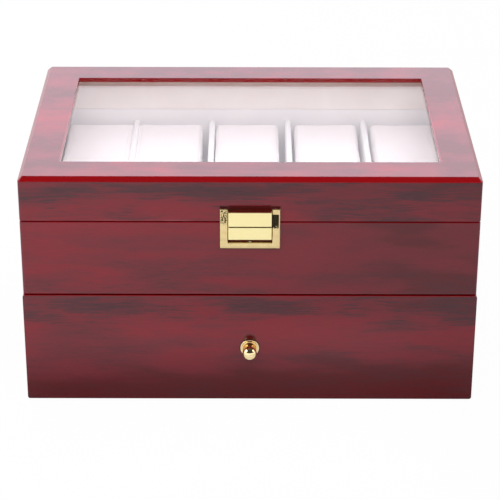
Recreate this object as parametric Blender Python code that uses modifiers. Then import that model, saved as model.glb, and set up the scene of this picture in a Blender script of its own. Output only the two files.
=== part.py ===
"""A watch display box: glazed lid, cushioned tray and cushioned drawer, in metres, +Z up.

The box stands on z = 0 with its front towards -Y. The origin is the middle of its base.
The lid turns about the pins of two butt hinges behind the back wall, the drawer slides out
along -Y, and the lower plate of the clasp rocks on a pin between the legs of its frame.
"""

import math

import bmesh
import bpy
from mathutils import Matrix, Vector

# The whole box
BODY_WIDTH = 0.290
BODY_DEPTH = 0.203
BODY_HEIGHT = 0.158
BOARD = 0.010
CORNER_RADIUS = 0.002
EDGE_EASE = 0.0006
GLUE_LINE = 0.0001
SEAT_GAP = 0.0003
OVERRUN = 0.004
TOUCH = 0.000001
WELD = 0.00001

# Lid
LID_HEIGHT = 0.030
LID_SEAM = 0.0005
TOP_BOARD = 0.003
TOP_LIP = 0.0002
WINDOW_SIDE_RAIL = 0.0245
WINDOW_FRONT_RAIL = 0.0263
WINDOW_BACK_RAIL = 0.026
WINDOW_EASE = 0.0004
GLASS = 0.002
LINING = 0.0012
LINING_DROP = 0.0008

# Tray
TRAY_FLOOR = 0.003
TRAY_FLOOR_RISE = 0.003
GROOVE_DEPTH = 0.003
TRAY_DIVIDER = 0.004
TRAY_DIVIDER_HEIGHT = 0.0295
DIVIDER_ROUND = 0.0012

# Case below the tray
CASE_BOTTOM = 0.004

# Drawer
DRAWER_SECTION = 0.0766
DRAWER_SEAM = 0.001
DRAWER_FRONT_LIFT = 0.0008
DRAWER_FRONT_OVERHANG = 0.0005
DRAWER_FRONT_CORNER = 0.0015
DRAWER_SIDE = 0.007
DRAWER_SIDE_CLEARANCE = 0.001
DRAWER_SIDE_HEIGHT = 0.058
DRAWER_END_CLEARANCE = 0.0035
DRAWER_BOTTOM = 0.003
DRAWER_BOTTOM_RISE = 0.002
DRAWER_LINING = 0.001
DRAWER_DIVIDER = 0.003
DRAWER_DIVIDER_HEIGHT = 0.030
RUNNING_GAP = 0.0003

# Cushions
COLUMNS = 5
CUSHION_HEIGHT = 0.035
CUSHION_SIDE_CLEARANCE = 0.002
CUSHION_END_CLEARANCE = 0.00185
CUSHION_END_ROUND = 0.012
CUSHION_SIDE_ROUND = 0.0045
CUSHION_TOP_ROUND = 0.010
CUSHION_CROWN = 0.0018
CUSHION_DRAW_IN = 0.0012
BACK_DRIFT_SHARES = (0.55, -0.6, -0.65, -0.13, -0.1)
FRONT_DRIFT_SHARES = (-0.2, 0.35, 0.1, -0.4, 0.3)

# Butt hinges
HINGE_SPACING = 0.170
HINGE_LENGTH = 0.030
KNUCKLES = 5
KNUCKLE_GAP = 0.0002
LEAF = 0.0009
LEAF_GAP = 0.0004
LEAF_MARGIN = 0.0015
BARREL_RADIUS = 0.0019
BARREL_CLEARANCE = 0.0002
HINGE_PIN_RADIUS = 0.00095
PIN_CLEARANCE = 0.0001
PIN_STAND = 0.0005

# Clasp
CLASP_WIDTH = 0.038
CLASP_LEG = 0.0052
CLASP_BAR = 0.0039
CLASP_THICKNESS = 0.0025
CLASP_EASE = 0.0004
CLASP_RISE = 0.010
CLASP_DROP = 0.0173
PLATE_PROUD = 0.006
PLATE_WALL = 0.0008
PLATE_EASE = 0.0003
PLATE_SIDE_CLEARANCE = 0.0002
STRIKE_DROP = 0.0007
STRIKE_STEP = 0.001
PLATE_PARTING = 0.0005
LEVER_HEIGHT = 0.0085
LEVER_BACK_CLEARANCE = 0.0008
CLASP_PIN_RADIUS = 0.0005
CLASP_PIN_CLEARANCE = 0.00005
CLASP_PIN_SEAT = 0.0018
TONGUE_WIDTH = 0.012
TONGUE_THICKNESS = 0.0008
TONGUE_SETBACK = 0.0026
TONGUE_DROP = 0.0034
NOSE_LENGTH = 0.0007
NOSE_HEIGHT = 0.001
NOSE_LEAD = 0.0004
CATCH_CLEARANCE = 0.0003
PIP_WIDTH = 0.0018
PIP_HEIGHT = 0.0009
PIP_THICKNESS = 0.0012

# Spring behind the lever
SPRING_RADIUS = 0.00095
SPRING_WIRE_RADIUS = 0.00017
SPRING_TURNS = 4.5
SPRING_TURN_POINTS = 10
SPRING_DROP = 0.0021
SPRING_PRESS_GAP = 0.0005

# Knob and its screw
KNOB_BASE_RADIUS = 0.0063
KNOB_LIP = 0.0006
KNOB_FLARE_HEIGHT = 0.0042
KNOB_NECK_RADIUS = 0.0024
KNOB_BALL_RADIUS = 0.0043
KNOB_BALL_HEIGHT = 0.0095
KNOB_FRONT_FLATTENING = 0.0003
KNOB_BORE_DEPTH = 0.0090
SCREW_RADIUS = 0.0018
SCREW_CLEARANCE = 0.0001
SCREW_HEAD_RADIUS = 0.0038
SCREW_HEAD_HEIGHT = 0.0022
SCREW_TIP_GAP = 0.001
SCREW_SUNK = 0.0002

# Counts of segments on round shapes
CORNER_SEGMENTS = 4
EASE_SEGMENTS = 2
BARREL_SIDES = 16
SMALL_PIN_SIDES = 12
TURNED_STEPS = 24
ARC_STEPS = 5
SMOOTH_ANGLE = math.radians(40)

X_AXIS, Y_AXIS, Z_AXIS = range(3)

# Levels and faces worked out from the sizes above
LID_PLANE = BODY_HEIGHT - LID_HEIGHT
FRONT_FACE = -BODY_DEPTH / 2
BACK_FACE = BODY_DEPTH / 2
INNER_HALF_WIDTH = BODY_WIDTH / 2 - BOARD
INNER_HALF_DEPTH = BODY_DEPTH / 2 - BOARD
CASE_TOP = LID_PLANE - LID_SEAM / 2
LID_LOW = LID_PLANE + LID_SEAM / 2
TOP_BOARD_LOW = BODY_HEIGHT - TOP_BOARD
TRAY_FRONT_LOW = DRAWER_SECTION + DRAWER_SEAM / 2
TRAY_FLOOR_LOW = TRAY_FRONT_LOW + TRAY_FLOOR_RISE
TRAY_FLOOR_TOP = TRAY_FLOOR_LOW + TRAY_FLOOR
TRAY_BED = TRAY_FLOOR_TOP + GLUE_LINE + LINING
GLASS_LOW = TOP_BOARD_LOW - GLUE_LINE - GLASS
DRAWER_FRONT_TOP = DRAWER_SECTION - DRAWER_SEAM / 2
DRAWER_FRONT_BACK = FRONT_FACE + BOARD
DRAWER_LOW = CASE_BOTTOM + RUNNING_GAP
DRAWER_SIDE_TOP = DRAWER_LOW + DRAWER_SIDE_HEIGHT
DRAWER_BOTTOM_LOW = DRAWER_LOW + DRAWER_BOTTOM_RISE
DRAWER_BOTTOM_TOP = DRAWER_BOTTOM_LOW + DRAWER_BOTTOM
DRAWER_BED = DRAWER_BOTTOM_TOP + GLUE_LINE + DRAWER_LINING
DRAWER_OUTER_HALF_WIDTH = INNER_HALF_WIDTH - DRAWER_SIDE_CLEARANCE
DRAWER_INNER_HALF_WIDTH = DRAWER_OUTER_HALF_WIDTH - DRAWER_SIDE
DRAWER_END = INNER_HALF_DEPTH - DRAWER_END_CLEARANCE
DRAWER_INNER_END = DRAWER_END - DRAWER_SIDE

# Room for the cushions: the drawer's cells are the narrower ones, so they set the size
TRAY_HALF_WIDTH = INNER_HALF_WIDTH - GLUE_LINE - LINING
TRAY_HALF_DEPTH = INNER_HALF_DEPTH - GLUE_LINE - LINING
TRAY_CELL = (2 * TRAY_HALF_WIDTH - (COLUMNS - 1) * TRAY_DIVIDER) / COLUMNS
TRAY_PITCH = TRAY_CELL + TRAY_DIVIDER
TRAY_ROW = TRAY_HALF_DEPTH - TRAY_DIVIDER / 2
DRAWER_ROOM_HALF_WIDTH = DRAWER_INNER_HALF_WIDTH - GLUE_LINE - DRAWER_LINING
DRAWER_ROOM_FRONT = DRAWER_FRONT_BACK + GLUE_LINE + DRAWER_LINING
DRAWER_ROOM_BACK = DRAWER_INNER_END - GLUE_LINE - DRAWER_LINING
DRAWER_ROOM_MIDDLE = (DRAWER_ROOM_FRONT + DRAWER_ROOM_BACK) / 2
DRAWER_CELL = (2 * DRAWER_ROOM_HALF_WIDTH - (COLUMNS - 1) * DRAWER_DIVIDER) / COLUMNS
DRAWER_PITCH = DRAWER_CELL + DRAWER_DIVIDER
DRAWER_ROW = (DRAWER_ROOM_BACK - DRAWER_ROOM_FRONT - DRAWER_DIVIDER) / 2
CUSHION_WIDTH = min(DRAWER_CELL, TRAY_CELL) - 2 * CUSHION_SIDE_CLEARANCE
CUSHION_DEPTH = min(DRAWER_ROW, TRAY_ROW) - 2 * CUSHION_END_CLEARANCE

# Hinge and clasp axes
HINGE_AXIS_Y = BACK_FACE + BARREL_RADIUS + BARREL_CLEARANCE
HINGE_AXIS_Z = LID_PLANE
CLASP_TOP = LID_PLANE + CLASP_RISE
CLASP_LOW = LID_PLANE - CLASP_DROP
CLASP_OPENING = CLASP_WIDTH / 2 - CLASP_LEG
PLATE_HALF_WIDTH = CLASP_OPENING - PLATE_SIDE_CLEARANCE
PLATE_FRONT = FRONT_FACE - PLATE_PROUD
STRIKE_LOW = LID_PLANE - STRIKE_DROP
STRIKE_TOP = CLASP_TOP - STRIKE_STEP
LEVER_TOP = STRIKE_LOW - PLATE_PARTING
LEVER_LOW = LEVER_TOP - LEVER_HEIGHT
LEVER_BACK = FRONT_FACE - LEVER_BACK_CLEARANCE
CLASP_PIN_Y = FRONT_FACE - SEAT_GAP - CLASP_THICKNESS / 2
CLASP_PIN_Z = (LEVER_TOP + LEVER_LOW) / 2


def clear_scene():
    for obj in list(bpy.data.objects):
        bpy.data.objects.remove(obj, do_unlink=True)


def new_collection(name):
    made = bpy.data.collections.new(name)
    bpy.context.scene.collection.children.link(made)
    return made


def finish(name, colour, roughness, metallic=0.0):
    """A Principled material with one plain colour."""
    made = bpy.data.materials.new(name)
    made.use_nodes = True
    shader = made.node_tree.nodes["Principled BSDF"]
    shader.inputs["Base Color"].default_value = (*colour, 1.0)
    shader.inputs["Roughness"].default_value = roughness
    shader.inputs["Metallic"].default_value = metallic
    made.diffuse_color = (*colour, 1.0)
    return made


def put(obj, place, parent):
    """Sets an object down at a place in the box, under a parent that isn't turned."""
    obj.parent = parent
    obj.location = Vector(place) - (parent.location if parent else Vector())
    return obj


def piece(name, mesh, place, look, parent=None):
    obj = bpy.data.objects.new(name, mesh)
    PIECES.objects.link(obj)
    if not mesh.materials:
        mesh.materials.append(look)
    return put(obj, place, parent)


def helper(name, mesh, place, parent=None):
    """A cutter, or a shape that a Boolean joins to a piece: never rendered."""
    obj = bpy.data.objects.new(name, mesh)
    CUTTERS.objects.link(obj)
    obj.hide_render = True
    obj.display_type = "WIRE"
    return put(obj, place, parent)


def axis_empty(name, place):
    obj = bpy.data.objects.new(name, None)
    PIECES.objects.link(obj)
    return put(obj, place, None)


def boolean(obj, other, operation):
    modifier = obj.modifiers.new(other.name, "BOOLEAN")
    modifier.operation = operation
    modifier.object = other
    modifier.solver = "EXACT"


def cut(obj, *cutters):
    for cutter in cutters:
        boolean(obj, cutter, "DIFFERENCE")


def join(obj, *others):
    for other in others:
        boolean(obj, other, "UNION")


def mesh_of(bm, name, smooth=False):
    """Ends a bmesh: normals outward, round pieces shaded smooth, and back to a mesh."""
    bmesh.ops.recalc_face_normals(bm, faces=bm.faces)
    mesh = bpy.data.meshes.new(name)
    bm.to_mesh(mesh)
    bm.free()
    if smooth:
        mesh.shade_smooth()
        mesh.set_sharp_from_angle(angle=SMOOTH_ANGLE)
    return mesh


def add_block(bm, low, high):
    """Adds a box by its two corners."""
    low, high = Vector(low), Vector(high)
    made = bmesh.ops.create_cube(bm, size=1)
    place = Matrix.Translation((low + high) / 2) @ Matrix.Diagonal((*(high - low), 1))
    bmesh.ops.transform(bm, matrix=place, verts=made["verts"])


def blocks(name, *corners):
    """One mesh of several boxes, each given by its two corners."""
    bm = bmesh.new()
    for low, high in corners:
        add_block(bm, low, high)
    return mesh_of(bm, name)


def add_rod(bm, radius, start, end, sides, height=0, depth=0):
    """Adds a cylinder along X from start to end, at the given depth (Y) and height (Z)."""
    place = Matrix.Translation(((start + end) / 2, depth, height)) @ Matrix.Rotation(math.pi / 2, 4, "Y")
    bmesh.ops.create_cone(
        bm,
        cap_ends=True,
        segments=sides,
        radius1=radius,
        radius2=radius,
        depth=end - start,
        matrix=place,
    )


def at(edge, axis, value):
    return all(abs(vertex.co[axis] - value) < TOUCH for vertex in edge.verts)


def along(edge, axis):
    span = edge.verts[1].co - edge.verts[0].co
    return abs(span[axis]) > span.length - TOUCH


def round_over(bm, chosen, width, segments):
    edges = [edge for edge in bm.edges if chosen(edge)]
    bmesh.ops.bevel(
        bm,
        geom=edges,
        offset=width,
        offset_type="OFFSET",
        segments=segments,
        profile=0.5,
        affect="EDGES",
        clamp_overlap=True,
    )


def board(name, low, high, look, parent=None):
    """A plain board by its two corners, with its origin in its middle."""
    low, high = Vector(low), Vector(high)
    half = (high - low) / 2
    return piece(name, blocks(name, (-half, half)), (low + high) / 2, look, parent)


def box_cutter(name, low, high, parent=None):
    low, high = Vector(low), Vector(high)
    half = (high - low) / 2
    return helper(name, blocks(name, (-half, half)), (low + high) / 2, parent)


def mitred_wall(name, side, low, high, look, parent=None, ease_low=True, ease_high=True):
    """One wall of the box, mitred at both ends, with its half of each rounded corner.

    The wall is modelled with its outer face on local y = 0 and turned to its side.
    """
    across = side in ("left", "right")
    length = BODY_DEPTH if across else BODY_WIDTH
    bm = bmesh.new()
    add_block(bm, (-length / 2, 0, 0), (length / 2, BOARD, high - low))
    round_over(bm, lambda edge: along(edge, Z_AXIS) and at(edge, Y_AXIS, 0), CORNER_RADIUS, CORNER_SEGMENTS)

    def outer_rim(edge):
        rim = (ease_low and at(edge, Z_AXIS, 0)) or (ease_high and at(edge, Z_AXIS, high - low))
        return rim and not at(edge, Y_AXIS, BOARD)

    round_over(bm, outer_rim, EDGE_EASE, EASE_SEGMENTS)
    for end in (-1, 1):
        bmesh.ops.bisect_plane(
            bm,
            geom=[*bm.verts, *bm.edges, *bm.faces],
            plane_co=(end * (length / 2 - GLUE_LINE / math.sqrt(2)), 0, 0),
            plane_no=(end, 1, 0),
            clear_outer=True,
        )
        bmesh.ops.holes_fill(bm, edges=[edge for edge in bm.edges if edge.is_boundary])
    places = {
        "front": ((0, FRONT_FACE, low), 0),
        "right": ((BODY_WIDTH / 2, 0, low), math.pi / 2),
        "back": ((0, BACK_FACE, low), math.pi),
        "left": ((-BODY_WIDTH / 2, 0, low), -math.pi / 2),
    }
    place, turn = places[side]
    obj = piece(name, mesh_of(bm, name), place, look, parent)
    obj.rotation_euler.z = turn
    return obj


def lining(name, low, high, thickness, look, parent=None, floor=True):
    """A covered card liner: an open tray, or with no floor a ring, thickened inwards."""
    low, high = Vector(low), Vector(high)
    half = (high - low) / 2
    bm = bmesh.new()
    add_block(bm, -half, half)
    open_levels = (half.z,) if floor else (half.z, -half.z)
    lids = [
        face
        for face in bm.faces
        if any(abs(face.calc_center_median().z - level) < TOUCH for level in open_levels)
    ]
    bmesh.ops.delete(bm, geom=lids, context="FACES")
    obj = piece(name, mesh_of(bm, name), (low + high) / 2, look, parent)
    solidify = obj.modifiers.new("card", "SOLIDIFY")
    solidify.thickness = thickness
    solidify.offset = -1
    solidify.use_even_offset = True
    return obj


def profile_mesh(name, profile):
    """The half outline of a turned piece, from (radius, height) points, top to bottom."""
    bm = bmesh.new()
    ring = [bm.verts.new((radius, 0, height)) for radius, height in profile]
    for first, second in zip(ring, ring[1:]):
        bm.edges.new((first, second))
    mesh = bpy.data.meshes.new(name)
    bm.to_mesh(mesh)
    bm.free()
    return mesh


def turned(obj, steps):
    """Turns an object's profile about its axis, and lays that axis along -Y."""
    screw = obj.modifiers.new("turn", "SCREW")
    screw.axis = "Z"
    screw.steps = steps
    screw.render_steps = steps
    screw.use_merge_vertices = True
    screw.merge_threshold = WELD
    screw.use_smooth_shade = True
    obj.rotation_euler.x = math.pi / 2
    return obj


def outline_plate(name, points, thickness):
    """A bmesh of a flat outline in local X and Z, as thick as given, centred on local Y."""
    curve = bpy.data.curves.new(name, "CURVE")
    curve.dimensions = "2D"
    curve.fill_mode = "BOTH"
    curve.extrude = thickness / 2
    spline = curve.splines.new("POLY")
    spline.points.add(len(points) - 1)
    for point, (x, y) in zip(spline.points, points):
        point.co = (x, y, 0, 1)
    spline.use_cyclic_u = True
    drawn = bpy.data.objects.new(name, curve)
    CUTTERS.objects.link(drawn)
    graph = bpy.context.evaluated_depsgraph_get()
    bm = bmesh.new()
    bm.from_mesh(bpy.data.meshes.new_from_object(drawn.evaluated_get(graph)))
    bpy.data.objects.remove(drawn, do_unlink=True)
    bmesh.ops.remove_doubles(bm, verts=bm.verts, dist=WELD)
    bmesh.ops.dissolve_limit(bm, angle_limit=math.radians(1), verts=bm.verts, edges=bm.edges)
    bmesh.ops.rotate(bm, cent=(0, 0, 0), matrix=Matrix.Rotation(math.pi / 2, 3, "X"), verts=bm.verts)
    return bm


def build_case(wood, raw_wood, velvet):
    walls = {}
    walls["left"] = mitred_wall("case_left_wall", "left", 0, CASE_TOP, wood)
    walls["right"] = mitred_wall("case_right_wall", "right", 0, CASE_TOP, wood)
    walls["back"] = mitred_wall("case_back_wall", "back", 0, CASE_TOP, wood)
    walls["front"] = mitred_wall("tray_front_wall", "front", TRAY_FRONT_LOW, CASE_TOP, wood)

    # The drawer's front covers the ends of the side walls below the tray
    bay_back = DRAWER_FRONT_BACK + SEAT_GAP
    bay = box_cutter(
        "drawer_front_bay",
        (-BODY_WIDTH / 2 - OVERRUN, FRONT_FACE - OVERRUN, -OVERRUN),
        (BODY_WIDTH / 2 + OVERRUN, bay_back, TRAY_FRONT_LOW),
    )
    cut(walls["left"], bay)
    cut(walls["right"], bay)

    # The tray's floor board is let into a groove in all four walls
    reach = GROOVE_DEPTH - SEAT_GAP
    board(
        "tray_floor_board",
        (-INNER_HALF_WIDTH - reach, -INNER_HALF_DEPTH - reach, TRAY_FLOOR_LOW),
        (INNER_HALF_WIDTH + reach, INNER_HALF_DEPTH + reach, TRAY_FLOOR_TOP),
        raw_wood,
    )
    groove = box_cutter(
        "tray_floor_groove",
        (-INNER_HALF_WIDTH - GROOVE_DEPTH, -INNER_HALF_DEPTH - GROOVE_DEPTH, TRAY_FLOOR_LOW - GLUE_LINE),
        (INNER_HALF_WIDTH + GROOVE_DEPTH, INNER_HALF_DEPTH + GROOVE_DEPTH, TRAY_FLOOR_TOP + GLUE_LINE),
    )
    for wall in walls.values():
        cut(wall, groove)

    board(
        "case_bottom_board",
        (-INNER_HALF_WIDTH + GLUE_LINE, bay_back, 0),
        (INNER_HALF_WIDTH - GLUE_LINE, INNER_HALF_DEPTH - GLUE_LINE, CASE_BOTTOM),
        raw_wood,
    )
    inset = GLUE_LINE
    lining(
        "tray_lining",
        (-INNER_HALF_WIDTH + inset, -INNER_HALF_DEPTH + inset, TRAY_FLOOR_TOP + inset),
        (INNER_HALF_WIDTH - inset, INNER_HALF_DEPTH - inset, LID_PLANE - LINING_DROP),
        LINING,
        velvet,
    )
    return walls


def divider_board(name, half_length, thickness, height):
    """A covered divider along local X, standing on local z = 0, with a rounded top edge."""
    bm = bmesh.new()
    add_block(bm, (-half_length, -thickness / 2, 0), (half_length, thickness / 2, height))

    def top_edge(edge):
        return along(edge, X_AXIS) and at(edge, Z_AXIS, height)

    round_over(bm, top_edge, DIVIDER_ROUND, EASE_SEGMENTS)
    return mesh_of(bm, name)


def build_tray_dividers(velvet):
    """A long divider and the cross dividers, half-lapped where they meet."""
    base = TRAY_BED + SEAT_GAP
    lap = TRAY_DIVIDER / 2 + GLUE_LINE
    half_height = TRAY_DIVIDER_HEIGHT / 2
    joints = [TRAY_PITCH * (column - COLUMNS / 2) for column in range(1, COLUMNS)]
    size = (TRAY_DIVIDER, TRAY_DIVIDER_HEIGHT)
    mesh = divider_board("tray_long_divider", TRAY_HALF_WIDTH - SEAT_GAP, *size)
    long_divider = piece("tray_long_divider", mesh, (0, 0, base), velvet)
    slots = [
        ((x - lap, -TRAY_DIVIDER, half_height), (x + lap, TRAY_DIVIDER, TRAY_DIVIDER_HEIGHT + OVERRUN))
        for x in joints
    ]
    cut(long_divider, helper("long_divider_slots", blocks("long_divider_slots", *slots), (0, 0, base)))
    mesh = divider_board("tray_cross_divider", TRAY_HALF_DEPTH - SEAT_GAP, *size)
    slot = blocks(
        "cross_divider_slot",
        ((-lap, -TRAY_DIVIDER, -OVERRUN), (lap, TRAY_DIVIDER, half_height + GLUE_LINE)),
    )
    for number, x in enumerate(joints, 1):
        cross = piece(f"tray_cross_divider_{number}", mesh, (x, 0, base), velvet)
        cross.rotation_euler.z = math.pi / 2
        cutter = helper(f"cross_divider_slot_{number}", slot, (x, 0, base))
        cutter.rotation_euler.z = math.pi / 2
        cut(cross, cutter)


def cushion_mesh(name):
    """The coarse cage of one cushion, standing on local z = 0.

    Each side of the cage is cut in three, with the cuts one rounding from the corners. The
    faces keep their full size, the edges between the corners are drawn in, and the top is crowned.
    """
    half = Vector((CUSHION_WIDTH / 2, CUSHION_DEPTH / 2, CUSHION_HEIGHT / 2))
    rounding = Vector((CUSHION_SIDE_ROUND, CUSHION_END_ROUND, CUSHION_TOP_ROUND))
    bm = bmesh.new()
    bmesh.ops.create_cube(bm, size=2)
    bmesh.ops.subdivide_edges(bm, edges=bm.edges, cuts=2, use_grid_fill=True)
    for vertex in bm.verts:
        unit = vertex.co.copy()
        outer = [abs(value) > 0.5 for value in unit]
        for axis in range(3):
            reach = half[axis] if outer[axis] else half[axis] - rounding[axis]
            if outer[axis] and sum(outer) == 2:
                reach -= CUSHION_DRAW_IN
            vertex.co[axis] = math.copysign(reach, unit[axis])
        if outer[Z_AXIS] and sum(outer) > 1:
            vertex.co.z -= math.copysign(CUSHION_CROWN, unit.z) if unit.z > 0 else 0
    bmesh.ops.translate(bm, vec=(0, 0, half.z), verts=bm.verts)
    mesh = mesh_of(bm, name)
    mesh.shade_smooth()
    return mesh


def build_cushions(mesh, prefix, places, look, parent=None):
    for name, place in places:
        obj = piece(f"{prefix}_{name}", mesh, place, look, parent)
        smooth = obj.modifiers.new("padding", "SUBSURF")
        smooth.levels = 1
        smooth.render_levels = 1


def build_tray_cushions(mesh, look):
    base = TRAY_BED + SEAT_GAP
    middle = (TRAY_HALF_DEPTH + TRAY_DIVIDER / 2) / 2
    play = (TRAY_CELL - CUSHION_WIDTH) / 2
    places = []
    for row, y, shares in (("back", middle, BACK_DRIFT_SHARES), ("front", -middle, FRONT_DRIFT_SHARES)):
        for column in range(COLUMNS):
            share = shares[column % len(shares)]
            x = TRAY_PITCH * (column - (COLUMNS - 1) / 2) + share * play
            places.append((f"{row}_{column + 1}", (x, y, base)))
    build_cushions(mesh, "tray_cushion", places, look)


def build_drawer_cushions(mesh, look, parent):
    places = []
    offset = (DRAWER_ROW + DRAWER_DIVIDER) / 2
    for row, y in (("back", DRAWER_ROOM_MIDDLE + offset), ("front", DRAWER_ROOM_MIDDLE - offset)):
        for column in range(COLUMNS):
            x = DRAWER_PITCH * (column - (COLUMNS - 1) / 2)
            places.append((f"{row}_{column + 1}", (x, y, DRAWER_BED + SEAT_GAP)))
    build_cushions(mesh, "drawer_cushion", places, look, parent)


def top_board_mesh(name):
    """The lid's top: rounded corners at its lower lip, chamfered up to a crisp top face."""
    chamfer = TOP_BOARD - TOP_LIP
    half_width, half_depth = BODY_WIDTH / 2, BODY_DEPTH / 2
    bm = bmesh.new()
    add_block(bm, (-half_width, -half_depth, 0), (half_width, half_depth, TOP_LIP))
    round_over(bm, lambda edge: along(edge, Z_AXIS), CORNER_RADIUS, CORNER_SEGMENTS)
    top = [face for face in bm.faces if face.normal.z > 0.5]
    raised = bmesh.ops.extrude_face_region(bm, geom=top)["geom"]
    bmesh.ops.delete(bm, geom=top, context="FACES")
    for vertex in (item for item in raised if isinstance(item, bmesh.types.BMVert)):
        vertex.co.x = math.copysign(min(abs(vertex.co.x), half_width - chamfer), vertex.co.x)
        vertex.co.y = math.copysign(min(abs(vertex.co.y), half_depth - chamfer), vertex.co.y)
        vertex.co.z = TOP_BOARD
    bmesh.ops.remove_doubles(bm, verts=bm.verts, dist=TOUCH)
    return mesh_of(bm, name)


def window_cutter_mesh(name, low, high):
    """The window opening, flared by a small ease where it meets the top face."""
    bm = bmesh.new()
    add_block(bm, (*low, -OVERRUN), (*high, TOP_BOARD - WINDOW_EASE))
    top = [face for face in bm.faces if face.calc_center_median().z > 0]
    top = [face for face in top if abs(face.normal.z) > 0.5]
    raised = bmesh.ops.extrude_face_region(bm, geom=top)["geom"]
    bmesh.ops.delete(bm, geom=top, context="FACES")
    middle = Vector(((low[0] + high[0]) / 2, (low[1] + high[1]) / 2))
    rise = 2 * WINDOW_EASE
    for vertex in (item for item in raised if isinstance(item, bmesh.types.BMVert)):
        vertex.co.x += math.copysign(rise, vertex.co.x - middle.x)
        vertex.co.y += math.copysign(rise, vertex.co.y - middle.y)
        vertex.co.z += rise
    return mesh_of(bm, name)


def build_lid(wood, glass, velvet, axis):
    rail_top = TOP_BOARD_LOW - GLUE_LINE
    rails = {
        side: mitred_wall(f"lid_{side}_rail", side, LID_LOW, rail_top, wood, axis, ease_high=False)
        for side in ("front", "back", "left", "right")
    }
    top = piece("lid_top_board", top_board_mesh("lid_top_board"), (0, 0, TOP_BOARD_LOW), wood, axis)
    window_low = (-BODY_WIDTH / 2 + WINDOW_SIDE_RAIL, FRONT_FACE + WINDOW_FRONT_RAIL)
    window_high = (BODY_WIDTH / 2 - WINDOW_SIDE_RAIL, BACK_FACE - WINDOW_BACK_RAIL)
    opening = window_cutter_mesh("window_opening", window_low, window_high)
    cut(top, helper("window_opening", opening, (0, 0, TOP_BOARD_LOW), axis))
    reach_x = INNER_HALF_WIDTH - SEAT_GAP
    reach_y = INNER_HALF_DEPTH - SEAT_GAP
    board("lid_glass", (-reach_x, -reach_y, GLASS_LOW), (reach_x, reach_y, GLASS_LOW + GLASS), glass, axis)
    inset = GLUE_LINE
    lining(
        "lid_lining",
        (-INNER_HALF_WIDTH + inset, -INNER_HALF_DEPTH + inset, LID_PLANE + LINING_DROP),
        (INNER_HALF_WIDTH - inset, INNER_HALF_DEPTH - inset, GLASS_LOW - SEAT_GAP),
        LINING,
        velvet,
        axis,
        floor=False,
    )
    return rails


def knuckle_spans(chosen):
    """Start and end along X of the knuckles whose number is in chosen."""
    pitch = HINGE_LENGTH / KNUCKLES
    start = -HINGE_LENGTH / 2
    return [
        (start + pitch * number + KNUCKLE_GAP / 2, start + pitch * (number + 1) - KNUCKLE_GAP / 2)
        for number in chosen
    ]


def hinge_leaf(name, centre, low, high, own, others, look, parent):
    """A leaf: a plate notched for the other leaf's knuckles, with its own knuckles and a bore.

    Its plate lies between the local heights low and high, and its origin is on the pin's axis.
    """
    place = (centre, HINGE_AXIS_Y, HINGE_AXIS_Z)
    inner = INNER_HALF_DEPTH + LEAF_MARGIN - HINGE_AXIS_Y
    plate = blocks(name, ((-HINGE_LENGTH / 2, inner, low), (HINGE_LENGTH / 2, 0, high)))
    leaf = piece(name, plate, place, look, parent)
    notch = BARREL_RADIUS + BARREL_CLEARANCE
    notches = [
        ((start - KNUCKLE_GAP, -notch, -notch), (end + KNUCKLE_GAP, notch, notch))
        for start, end in knuckle_spans(others)
    ]
    cut(leaf, helper(f"{name}_notches", blocks(f"{name}_notches", *notches), place, parent))
    bm = bmesh.new()
    for start, end in knuckle_spans(own):
        add_rod(bm, BARREL_RADIUS, start, end, BARREL_SIDES)
    join(leaf, helper(f"{name}_knuckles", mesh_of(bm, f"{name}_knuckles", smooth=True), place, parent))
    bm = bmesh.new()
    overrun = HINGE_LENGTH / 2 + OVERRUN
    add_rod(bm, HINGE_PIN_RADIUS + PIN_CLEARANCE, -overrun, overrun, BARREL_SIDES)
    cut(leaf, helper(f"{name}_bore", mesh_of(bm, f"{name}_bore"), place, parent))


def build_hinges(metal, back_wall, back_rail, axis):
    even = range(0, KNUCKLES, 2)
    odd = range(1, KNUCKLES, 2)
    low, high = LEAF_GAP / 2, LEAF_GAP / 2 + LEAF
    room = HINGE_LENGTH / 2 + GLUE_LINE
    inner = INNER_HALF_DEPTH + LEAF_MARGIN - GLUE_LINE
    for side, centre in (("left", -HINGE_SPACING / 2), ("right", HINGE_SPACING / 2)):
        hinge_leaf(f"hinge_{side}_case_leaf", centre, -high, -low, even, odd, metal, None)
        hinge_leaf(f"hinge_{side}_lid_leaf", centre, low, high, odd, even, metal, axis)
        bm = bmesh.new()
        half = HINGE_LENGTH / 2 + PIN_STAND
        add_rod(bm, HINGE_PIN_RADIUS, -half, half, BARREL_SIDES)
        pin = mesh_of(bm, f"hinge_{side}_pin", smooth=True)
        piece(f"hinge_{side}_pin", pin, (centre, HINGE_AXIS_Y, HINGE_AXIS_Z), metal)
        lower = box_cutter(
            f"hinge_{side}_case_mortise",
            (centre - room, inner, LID_PLANE - high - GLUE_LINE),
            (centre + room, BACK_FACE + OVERRUN, LID_PLANE + OVERRUN),
        )
        upper = box_cutter(
            f"hinge_{side}_lid_mortise",
            (centre - room, inner, LID_PLANE - OVERRUN),
            (centre + room, BACK_FACE + OVERRUN, LID_PLANE + high + GLUE_LINE),
            axis,
        )
        cut(back_wall, lower)
        cut(back_rail, upper)


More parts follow.
